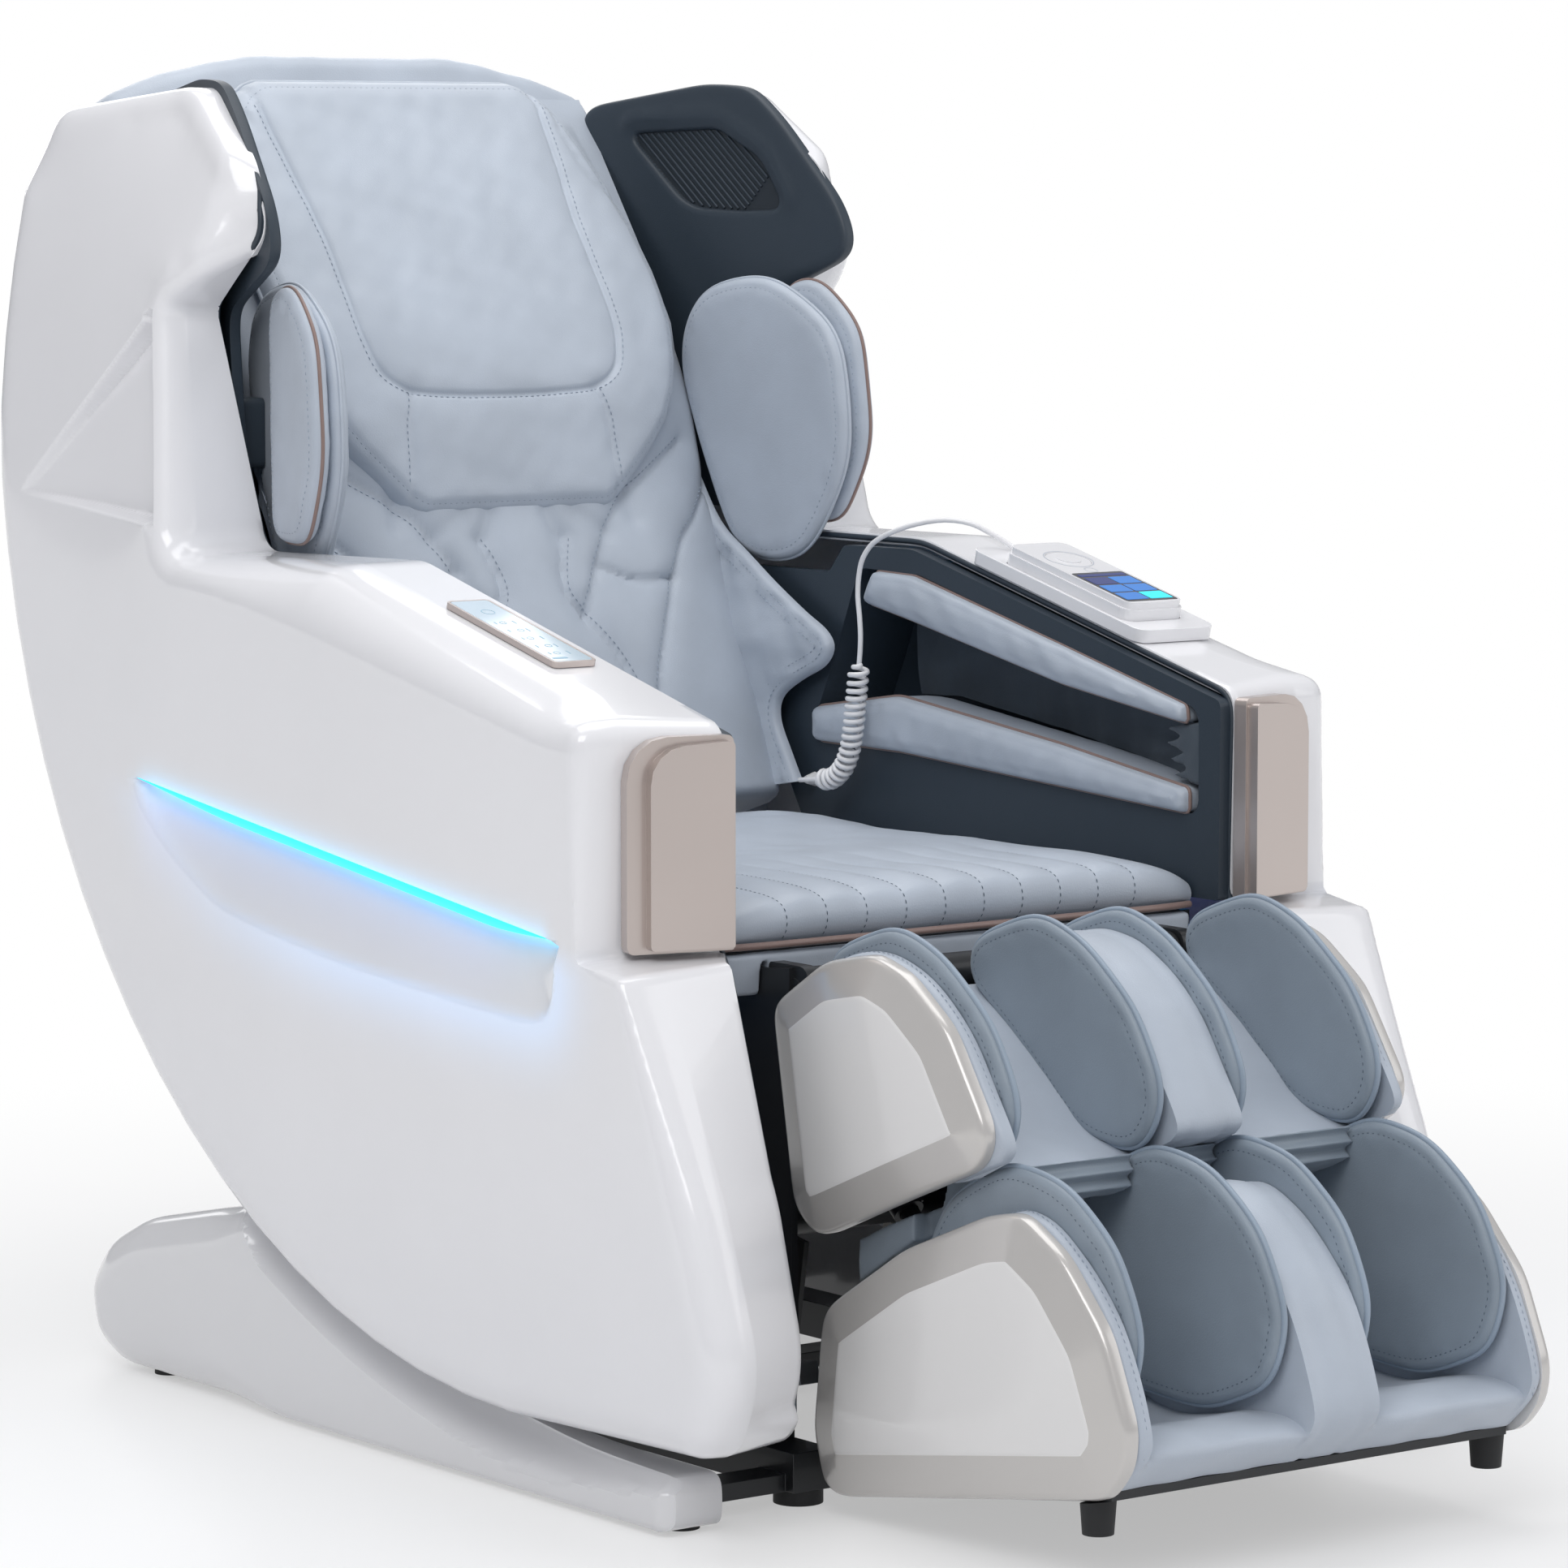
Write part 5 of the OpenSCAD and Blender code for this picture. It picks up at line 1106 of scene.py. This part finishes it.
def roll_front(z, r):
    y = float(back_rear(z)) + SOFT
    q = on_back(A([0]), A([y]), A([float(z)]))[0]
    return (q[1], q[2], r)


ROLL = rounded([roll_front(594, 10), roll_front(BACK_LEN - 6, 12), (662, 1150, 18), (704.7, 1137, 18),
                (702.7, 1068, 30), (652, 1050, 20)], 10)
ROLL_W, ROLL_FRONT = 262, 601


def make_roll():
    """The roll on the backrest's upper end, drooping toward its sides."""
    o = resample(ROLL, 4)
    ends = [262, 260, 255, 247, 236, 220]
    xs = A([-x for x in ends] + list(np.linspace(-200, 200, 41)) + ends[::-1], float)
    rows = []
    for x in xs:
        e = ROLL_W - abs(x)
        q = inset(o, 9 * (1 - dome(e / 20)))
        q = q + inward(o) * (0.8 * waves(at_x(x, q), 70, 41) - 0.8)[:, None] * min(1, e / 20)
        drop = np.interp(abs(x), [0, 110, 155, 210, 237, 255, 262], [0, 0, 8, 20, 30, 36, 40])
        q[:, 1] -= drop * smooth01((q[:, 1] - 1052) / 90)
        # beyond the back cushion's width it stays behind ROLL_FRONT
        if abs(x) > BACK_W + 2:
            q[:, 0] = np.where(q[:, 0] < ROLL_FRONT, ROLL_FRONT + (q[:, 0] - ROLL_FRONT) * 0.02, q[:, 0])
        rows.append(at_x(x, q))
    cushion("back_roll", np.vstack(rows), loft_faces(len(xs), len(o)), LEATHER, "chair", "back_pad")


make_roll()

# head pad
PANEL_HALF = [(152, 652), (145, 569), (138, 500), (137, 420), (134, 392), (124, 364), (98, 347), (50, 342)]
PANEL = spline(PANEL_HALF + [(0, 341)] + mirror(PANEL_HALF[::-1]), 8)
SHORT = [(98, 346), (106, 318), (110, 248)]
SIDE_FOLD = [(206, 520), (176, 556), (164, 600), (170, 636)]
HEAD_LINE = resample(HEAD, 4)
WELT_IN, WELT_R = 10.0, 2.2


def head_height(p, d):
    """Thickness of the head pad at (x, z') points that lie d inside its outline."""
    h = HEAD_T * dome(d / 22, 2.3) * (0.86 + 0.14 * smooth01(d / 110))
    h = h - 1.6 * np.exp(-((d - WELT_IN) / 1.6) ** 2)
    # the panel's seam, the short seams below it and the folded layer on the edge beside it: depth and width, twice
    half = np.column_stack([np.abs(p[:, 0]), p[:, 1]])
    for q, line, deep, wide, deep2, wide2 in (
            (p, PANEL, 3.2, 2.4, 2.2, 10), (p, SHORT, 2.0, 2.2, 1.4, 9), (p, mirror(SHORT), 2.0, 2.2, 1.4, 9),
            (half, SIDE_FOLD, 2.4, 3, 1.5, 12)):
        off = dist(q, line, False)
        h = h - deep * np.exp(-(off / wide) ** 2) - deep2 * np.exp(-(off / wide2) ** 2)
    return np.maximum(h + 0.8 * waves(p, 120, 51) * smooth01(d / 30) + 0.4 * waves(p, 42, 52) * smooth01(d / 20), 0)


def make_head():
    o = HEAD_LINE
    p2, tris, _ = fill_outline(o, [0.8, 2, 4, 6.5, 9, 11.5, 14, 17], 5, (resample(PANEL, 4, False)[3:-3],))
    y0 = HEAD_Y + bend(p2[:, 1])
    v = np.vstack([on_back(p2[:, 0], y, p2[:, 1]) for y in (y0 - head_height(p2, dist(p2, o)), y0)])
    cushion("head_cushion", v, two_skins(tris, len(p2)), LEATHER, "chair", "head_pad")
    parts = []
    for line, closed in ((inset(o, WELT_IN), True), (resample(PANEL, 3, False) * (1.035, 1) - (0, 2.5), False),
                         (resample(A(SHORT) + (4, 0), 3, False), False),
                         (resample(A(mirror(SHORT)) - (4, 0), 3, False), False)):
        q = resample(line, 3, closed)
        if not closed:
            q = q[dist(q, o) > 13]
        y = HEAD_Y + bend(q[:, 1]) - head_height(q, dist(q, o))
        parts.append(stitch_mesh(on_back(q[:, 0], y - 0.35, q[:, 1]), BACK_OUT, closed=closed))
    trim("head_stitches", parts, THREAD)
    trim("head_welt", [tube(on_back(o[:, 0], HEAD_Y + bend(o[:, 1]) - WELT_R, o[:, 1]), WELT_R, 8, True)], LEATHER)


make_head()

# ---------------------------------------------------------------- seat
SEAT_W, SEAT_TOP, SEAT_T = 247.0, 479.0, 46.0
SEAT_LOW = SEAT_TOP - SEAT_T
# y, share of the thickness, share of the channels' depth
SEAT = A([(-222, 0, 0), (-236, 0.3, 0), (-238, 0.62, 0.3), (-230, 0.88, 0.8), (-206, 1, 1), (-150, 1.03, 1),
          (-90, 1.02, 0.6), (-20, 1, 0), (80, 1, 0), (200, 1, 0), (278, 1, 0), (284, 0.6, 0), (280, 0, 0)], float)
# wide soft hollows of the sitting face: line, width, depth
SEAT_HOLLOWS = (([(-190, 230), (-60, 238), (80, 236), (190, 226)], 7, 3.0),
                ([(-150, -40), (-60, 20), (30, 60)], 14, 2.0), ([(60, 40), (130, 90), (200, 100)], 12, 2.0))
SEAT_SEAMS = [s * (20 + 40 * k) for k in range(5) for s in (-1, 1)]


def corner_share(x):
    """0 over most of the width, 1 at the sides."""
    return (abs(x) / SEAT_W) ** 9


def make_seat():
    line = spline(SEAT, 8)
    xs = np.linspace(-SEAT_W, SEAT_W, 199)
    rows = []
    for x in xs:
        e = corner_share(x)
        near = min(abs(x - s) for s in SEAT_SEAMS)
        dip = 1.5 * math.exp(-(near / 3.4) ** 2) + 0.9 * math.cos(math.pi * min(near, 20) / 20) - 0.9
        z = SEAT_LOW + SEAT_T * line[:, 1] * (1 - 0.36 * e) - line[:, 2] * dip
        z = z - 5 * smooth01((abs(x) - 150) / 110) * line[:, 1]
        rows.append(at_x(x, np.column_stack([line[:, 0] * (1 - 0.03 * e), z])))
    v = np.vstack(rows)
    top = smooth01((v[:, 2] - SEAT_TOP + 26) / 16)
    v[:, 2] += top * (1.5 * waves(v[:, :2] * (0.7, 1.0), 150, 61)
                      + 0.5 * waves(v[:, :2], 60, 62) * smooth01((v[:, 1] + 60) / 80))
    for hollow, wide, deep in SEAT_HOLLOWS:
        v[:, 2] -= top * deep * np.exp(-(dist(v[:, :2], spline(hollow, 6), False) / wide) ** 2)
    n = len(line)
    cushion("seat_cushion", v, loft_faces(len(xs), n), LEATHER, "chair", "seat_pad")
    grid = v.reshape(len(xs), n, 3)
    parts = []
    for s in SEAT_SEAMS:
        path = grid[int(np.argmin(np.abs(xs - s)))]
        path = resample(path[(path[:, 1] < -118) & (path[:, 2] > SEAT_LOW + 6)], 3, False)
        mid = A([s, -150.0, SEAT_TOP - 40])
        parts.append(stitch_mesh(path + (path - mid) * 0.004, path - mid))
    trim("seat_stitches", parts, THREAD_DARK)
    xs = np.linspace(-SEAT_W + 3, SEAT_W - 3, 80)
    front = -238.5 * (1 - 0.03 * corner_share(xs))
    trim("seat_piping", [tube(np.column_stack([xs, front, np.full(80, SEAT_LOW + 5.0)]), 3.0, 10)], PIPING)


make_seat()

# ---------------------------------------------------------------- wing liners with their speakers
on_wing = turned(WING_X, WING_Y, WING_TURN)
WING = rounded([(-11, 982, 20), (4, 1016, 60), (72, 1089, 60), (110, 1121, 30), (165, 1124, 60), (326, 1102, 16),
                (262, 900, 20), (196, 738, 16), (72, 738, 12), (98, 925, 10), (-5, 967, 10)], 8)
LEAF = rounded([(66, 1009, 8), (120, 1007, 20), (186, 1010, 60), (263, 1080, 6), (150, 1084, 30), (96, 1056, 40)], 10)


def make_wings():
    o = soften(WING, 13)
    leaf = soften(LEAF, 6, 2.5)
    p2, tris, n = fill_outline(o, [1, 2.4, 4.2, 6.5, 9, 12], 6, (np.vstack([leaf, leaf[:1]]),))
    dl = dist(p2, leaf)
    ins = inside(p2, leaf)
    w = -4.2 + 4.4 * (1 - dome(dist(p2, o) / 13, 2.2))
    upper = smooth01(((p2[:, 1] - 1045) / 38 + (150 - p2[:, 0]) / 105 + 0.3) / 0.6)
    w = w - 3.4 * np.exp(-(np.abs(dl - 13) / 6.5) ** 2.2) * upper * ~ins
    w = np.where(ins, 1.6 - 4.4 * np.exp(-(dl / 0.9) ** 2), w + 1.2 * np.exp(-(dl / 2.2) ** 2))
    v = np.vstack([on_wing(p2[:, 0], p2[:, 1], w), on_wing(p2[:n, 0], p2[:n, 1], np.full(n, 8.0))])
    k = len(p2)
    faces = list(tris) + wall(range(n), k) + [[k + i for i in range(n)]]
    speaker = inset(leaf, 1.2)
    dark = A([max(f) < k and inside(p2[list(f)].mean(0)[None], speaker)[0] for f in faces])
    for side, s in SIDES:
        ob = add_object(f"wing_{side}_skin", v * (s, 1, 1), faces, SLATE, "chair", (f"wing_liner_{side}",),
                        "slate_plastic", 40)
        ob.data.materials.append(GRILLE)
        ob.data.polygons.foreach_set("material_index", dark.astype(np.int32))
    # ribs of the speaker, which leave one corner plain
    run, step = A([-0.736, -0.677]), A([-0.677, 0.736])
    corner = A([86.0, 1043.0])
    small = inset(resample(LEAF, 2), 2.4)
    parts = []
    for k in range(-34, 35):
        line = A([165, 1046]) + step * 5.6 * k + run * np.linspace(-140, 140, 281)[:, None]
        q = line[inside(line, small) & ((line - corner) @ run < 0)]
        if len(q) > 7:
            parts.append(tube(on_wing(q[[0, -1], 0], q[[0, -1], 1], np.full(2, 1.2)), 1.3, 8))
    v, f = merge(parts)
    both_sides("speaker_ribs", v, f, SLATE, "chair", ("speaker_grilles",), "grille_plastic", SEWN)
    # bracket that carries the shoulder pads
    o = resample(rounded([(150, 790, 5), (184, 790, 5), (184, 850, 5), (150, 850, 5)], 5), 3)
    v = np.vstack([back_layer(o[:, 0], o[:, 1], np.full(len(o), w)) for w in (0.2, 45.0)])
    both_sides("pad_bracket", v, loft_faces(2, len(o)), SLATE, "chair", (), "slate_plastic", 40)


make_wings()
NODE_BODY = {name: ob["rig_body"] for name, ob in NODES.items()}


# ---------------------------------------------------------------- softened copies of small cloth parts
def soft_copy(name, node, mat, body, voxel, relax, swell, fold):
    """The CAD solid's mesh, remeshed, relaxed and creased as sewn cloth."""
    src = NODES[node]
    ob = bpy.data.objects.new(name, src.data.copy())
    bpy.context.scene.collection.objects.link(ob)
    weld = ob.modifiers.new("weld", "WELD")
    weld.merge_threshold = 1e-5
    rm = ob.modifiers.new("remesh", "REMESH")
    rm.mode, rm.voxel_size = "VOXEL", voxel * MM
    sm = ob.modifiers.new("relax", "SMOOTH")
    sm.iterations, sm.factor = relax, 0.5
    deps = bpy.context.evaluated_depsgraph_get()
    me = bpy.data.meshes.new_from_object(ob.evaluated_get(deps))
    ob.modifiers.clear()
    ob.data = me
    p = A([v.co for v in me.vertices]) / MM
    nn = A([v.normal for v in me.vertices])
    p = p + nn * (swell + fold * waves(p, 26, 5) * 0.7 + fold * 0.5 * waves(p, 60, 6))[:, None]
    me.vertices.foreach_set("co", (p * MM).ravel())
    me.materials.clear()
    me.materials.append(mat)
    me.shade_smooth()
    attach(ob, body)
    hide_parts(node)


soft_copy("arm_gusset_cloth", "arm_gussets", FABRIC, "chair", 2.2, 3, 0.1, 0.9)
soft_copy("seat_apron_strip", "seat_apron", LEATHER, "chair", 1.8, 2, 0.1, 0.25)
soft_copy("leg_bellows_cloth", "leg_bellows", LEATHER_DEEP, NODE_BODY["leg_bellows"], 2.2, 2, 0.1,
          0.5)


def make_gusset():
    """Cloth at the back of the arm slot, gathered toward its closed end."""
    Y, V = np.meshgrid(np.linspace(-232, 222, 120), np.linspace(0, 1, 40))
    low = np.interp(Y, [-226, -60, 164, 230], [530, 553, 580, 578])
    up = np.interp(Y, [-222, -60, 150, 216, 230], [592, 614, 656, 668, 670])
    Z = low + (up - low) * V
    X = np.interp(Y, [-232, -212, -170, -90, 40, 222], [262, 272, 290, 305, 314, 317])
    near = smooth01((-40 - Y) / 170)
    fan = (Z - 560) / np.maximum(Y + 262, 14)
    X = X + near * (5.5 * np.sin(fan * 9 + 0.6) + 3 * np.sin(fan * 23 + 1.4 + Y / 60)) \
        - 4 * np.sin(math.pi * V) * (1 - near)
    X = np.minimum(X + 1.6 * waves(np.column_stack([Y.ravel(), Z.ravel()]), 70, 91).reshape(X.shape), 319.5)
    p = np.column_stack([X.ravel(), Y.ravel(), Z.ravel()])
    v = np.vstack([p, p + (1.6, 0, 0)])
    for ob in both_sides("arm_slot_cloth", v, sheet_faces(*Y.shape), FABRIC, "chair", (), "fabric_slate", SEWN):
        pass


make_gusset()


# ---------------------------------------------------------------- handset screen and quick keys: plain generic marks
def on_arm(x, y, h, local):
    """Points given in the arm top's own frame (x, along, up) at (x, y)."""
    a = math.atan(ARM_SLOPE)
    p = A(local, float)
    z0 = ARM_TOP_Z - (ARM_TOP_Y - y) * ARM_SLOPE + h
    return np.column_stack([x + p[:, 0], y + p[:, 1] * math.cos(a) - p[:, 2] * math.sin(a),
                            z0 + p[:, 1] * math.sin(a) + p[:, 2] * math.cos(a)])


def tile(cx, cy, w, h, z, t=0.18, r=1.2):
    o = rounded([(cx + a * w / 2, cy + b * h / 2, r) for a, b in ((-1, -1), (1, -1), (1, 1), (-1, 1))], 4)
    n = len(o)
    v = np.vstack([np.column_stack([o, np.full(n, zz)]) for zz in (z, z + t)])
    return v, loft_faces(2, n)


def ring_mark(cx, cy, r, wide, z, t=0.15, n=32):
    a = np.arange(n) * 2 * math.pi / n
    v = np.vstack([np.column_stack([cx + rad * np.cos(a), cy + rad * np.sin(a), np.full(n, zz)])
                   for rad, zz in ((r, z), (r + wide, z), (r + wide, z + t), (r, z + t))])
    return v, [(k * n + i, k * n + (i + 1) % n, (k + 1) % 4 * n + (i + 1) % n, (k + 1) % 4 * n + i)
               for k in range(4) for i in range(n)]


def glow_plastic(name, rgb, strength):
    return lit(plastic(name, rgb, (0.1, 0.16), 0.4, [("noise", 40, 0.01)]), srgb(*rgb), strength)


MARK = plastic("key_marks", (150, 186, 208), (0.2, 0.3), 0.2)
GREY_MARK = plastic("handset_marks", (176, 182, 192), (0.3, 0.4), 0.1)
HANDSET_AT, KEYS_AT = (302, -32, 0.5), (-300, -43, 0.5)
SCREEN_Z, SCREEN_Y, TILE, KEY_Z = 20.22, -39.6, (24.5, 18), 5.06


def handset_piece(name, parts, mat):
    v, f = merge(parts)
    add_object(name, on_arm(*HANDSET_AT, v + (-6, -8, 7.4)), f, mat, NODE_BODY["handset"], (), "screen_glass", 40)


for name, glow, tiles in (
        ("screen_tiles_blue", glow_plastic("tile_blue", (28, 110, 190), 0.55),
         ((13.2, 16, *TILE), (-13.2, -5, *TILE), (13.2, -5, *TILE), (-13.2, -26, *TILE))),
        ("screen_tiles_navy", glow_plastic("tile_navy", (14, 36, 104), 0.5), ((-13.2, 16, *TILE), (0, 31.5, 51, 6))),
        ("screen_tile_cyan", glow_plastic("tile_cyan", (0, 206, 226), 0.7), ((13.2, -26, *TILE),))):
    handset_piece(name, [tile(x, SCREEN_Y + y, w, h, SCREEN_Z) for x, y, w, h in tiles], glow)
handset_piece("handset_rings", [ring_mark(0, 37.8, 21.5, 1.0, 20.0), ring_mark(0, 6.5, 5.5, 0.8, 20.0)], GREY_MARK)
marks = []
for k, y in enumerate((-58, -40, -20, 0, 20)):
    marks += [ring_mark(0 if k % 2 else -4, y, 2.6, 0.6, KEY_Z), tile(7, y, 1.2, 7, KEY_Z, 0.15, 0.4),
              tile(-11, y, 1.2, 5, KEY_Z, 0.15, 0.4)]
marks += [ring_mark(0, 48, 5.2, 0.8, KEY_Z), tile(-9, -70, 14, 3.5, KEY_Z, 0.15, 1.0)]
v, f = merge(marks)
add_object("key_marks", on_arm(*KEYS_AT, v), f, MARK, NODE_BODY["key_glass"], (), "key_glass", 40)

# ---------------------------------------------------------------- carried-over CAD nodes
def smooth_group():
    g = bpy.data.node_groups.new("soft_edges", "GeometryNodeTree")
    g.interface.new_socket("Geometry", in_out="INPUT", socket_type="NodeSocketGeometry")
    g.interface.new_socket("Geometry", in_out="OUTPUT", socket_type="NodeSocketGeometry")
    n, l = g.nodes, g.links
    i, o = n.new("NodeGroupInput"), n.new("NodeGroupOutput")
    weld, drop = n.new("GeometryNodeMergeByDistance"), n.new("GeometryNodeRemoveAttribute")
    weld.inputs["Distance"].default_value = 1e-5
    drop.inputs["Name"].default_value = "custom_normal"
    ang, cmp_, face, edge = (n.new("GeometryNodeInputMeshEdgeAngle"), n.new("FunctionNodeCompare"),
                             n.new("GeometryNodeSetShadeSmooth"), n.new("GeometryNodeSetShadeSmooth"))
    cmp_.operation = "LESS_THAN"
    cmp_.inputs[1].default_value = math.radians(32)
    edge.domain = "EDGE"
    l.new(i.outputs[0], weld.inputs["Geometry"])
    l.new(weld.outputs["Geometry"], drop.inputs["Geometry"])
    l.new(drop.outputs["Geometry"], face.inputs["Geometry"])
    l.new(face.outputs["Geometry"], edge.inputs["Geometry"])
    l.new(ang.outputs["Unsigned Angle"], cmp_.inputs[0])
    l.new(cmp_.outputs["Result"], edge.inputs["Shade Smooth"])
    l.new(edge.outputs["Geometry"], o.inputs[0])
    return g


SMOOTH = smooth_group()
NODE_LOOK = (
    (BLACK_STEEL, "base_frame seat_frame back_frame calf_frame foot_frame"),
    (RUBBER, "base_feet foot_feet transport_wheels"), (BASE_WHITE, "base_rear_cover"), (NYLON, "glide_shoes"),
    (ZINC, "power_unit wheel_axle tilt_actuator arc_rails massage_carriage"), (BRIGHT, "tilt_rod"),
    (BLACK_PLASTIC, "mains_inlet power_switch kneading_arms"), (SLATE, "arm_liner_left arm_liner_right back_shell"),
    (CHAMPAGNE, "arm_cap_left arm_cap_right key_panel"), (GLASS_BLUE, "key_glass"), (SCREEN, "handset_screen"),
    (WHITE, "handset_dock handset handset_key"), (CORD, "cord_gland"),
)
for look, names in NODE_LOOK:
    for name in names.split():
        ob = NODES[name]
        ob.data.materials.clear()
        ob.data.materials.append(look)
        ob.modifiers.new("soft_edges", "NODES").node_group = SMOOTH
        bev = ob.modifiers.new("bevel", "BEVEL")
        bev.width, bev.segments, bev.limit_method, bev.angle_limit = 0.8 * MM, 2, "ANGLE", math.radians(32)
        bev.harden_normals = True


# ---------------------------------------------------------------- floor, world, lights
# name, place and size in metres, power in watts
LAMPS = (("key", (-2.6, -2.4, 3.6), 2.6, 82), ("fill", (2.8, -3.0, 2.2), 3.0, 34), ("top", (0.2, 0.4, 3.4), 2.4, 44),
         ("rear", (1.2, 3.4, 2.4), 2.6, 36))
LAMPS_AIM = (0, 0, 0.5)
# metres from the origin over which the shaded floor gives way to plain white
FADE_FROM, FADE_TO = 0.7, 2.1


def seen(n, l):
    """1 where a surface is seen directly, in a reflection or through glass."""
    path = n.new("ShaderNodeLightPath")
    last = path.outputs["Is Camera Ray"]
    for name in ("Is Glossy Ray", "Is Transmission Ray"):
        add = n.new("ShaderNodeMath")
        add.operation, add.use_clamp = "ADD", True
        l.new(last, add.inputs[0])
        l.new(path.outputs[name], add.inputs[1])
        last = add.outputs[0]
    return last


def stage():
    me = bpy.data.meshes.new("floor")
    me.from_pydata([(-30, -30, 0), (30, -30, 0), (30, 30, 0), (-30, 30, 0)], [], [(0, 1, 2, 3)])
    floor = bpy.data.objects.new("floor", me)
    bpy.context.scene.collection.objects.link(floor)
    m = material("floor_paint", (0.9, 0.9, 0.905), 0.35, spec=0.3)
    vary_rough(m, 0.3, 0.4, 2)
    n, l = nodes_of(m)
    # plain white away from the object, the shaded floor close to it
    co, length, fade = n.new("ShaderNodeTexCoord"), n.new("ShaderNodeVectorMath"), n.new("ShaderNodeMapRange")
    length.operation = "LENGTH"
    fade.interpolation_type = "SMOOTHSTEP"
    fade.inputs["From Min"].default_value, fade.inputs["From Max"].default_value = FADE_FROM, FADE_TO
    fade.inputs["To Min"].default_value, fade.inputs["To Max"].default_value = 0.45, 1.0
    l.new(co.outputs["Object"], length.inputs[0])
    l.new(length.outputs["Value"], fade.inputs["Value"])
    fac = n.new("ShaderNodeMath")
    fac.operation = "MULTIPLY"
    l.new(fade.outputs["Result"], fac.inputs[0])
    l.new(seen(n, l), fac.inputs[1])
    white, mix = n.new("ShaderNodeEmission"), n.new("ShaderNodeMixShader")
    white.inputs["Color"].default_value = (1, 1, 1, 1)
    white.inputs["Strength"].default_value = 1.0
    l.new(fac.outputs[0], mix.inputs["Fac"])
    l.new(n["Principled BSDF"].outputs[0], mix.inputs[1])
    l.new(white.outputs[0], mix.inputs[2])
    l.new(mix.outputs[0], n["Material Output"].inputs["Surface"])
    me.materials.append(m)
    world = bpy.data.worlds.new("studio")
    bpy.context.scene.world = world
    world.use_nodes = True
    n, l = world.node_tree.nodes, world.node_tree.links
    bg = n["Background"]
    bg.inputs["Color"].default_value = (0.95, 0.96, 1.0, 1)
    bg.inputs["Strength"].default_value = 0.4
    cam_bg = n.new("ShaderNodeBackground")
    cam_bg.inputs["Color"].default_value = (1, 1, 1, 1)
    cam_bg.inputs["Strength"].default_value = 1.0
    mix, path = n.new("ShaderNodeMixShader"), n.new("ShaderNodeLightPath")
    l.new(path.outputs["Is Camera Ray"], mix.inputs["Fac"])
    l.new(bg.outputs[0], mix.inputs[1])
    l.new(cam_bg.outputs[0], mix.inputs[2])
    l.new(mix.outputs[0], n["World Output"].inputs["Surface"])
    for name, place, size, power in LAMPS:
        la = bpy.data.lights.new(name, "AREA")
        la.energy, la.size = power, size
        ob = bpy.data.objects.new(name, la)
        bpy.context.scene.collection.objects.link(ob)
        ob.location = place
        ob.rotation_euler = (Vector(LAMPS_AIM) - Vector(place)).to_track_quat("-Z", "Y").to_euler()


stage()
bpy.context.scene.view_settings.view_transform = "Standard"
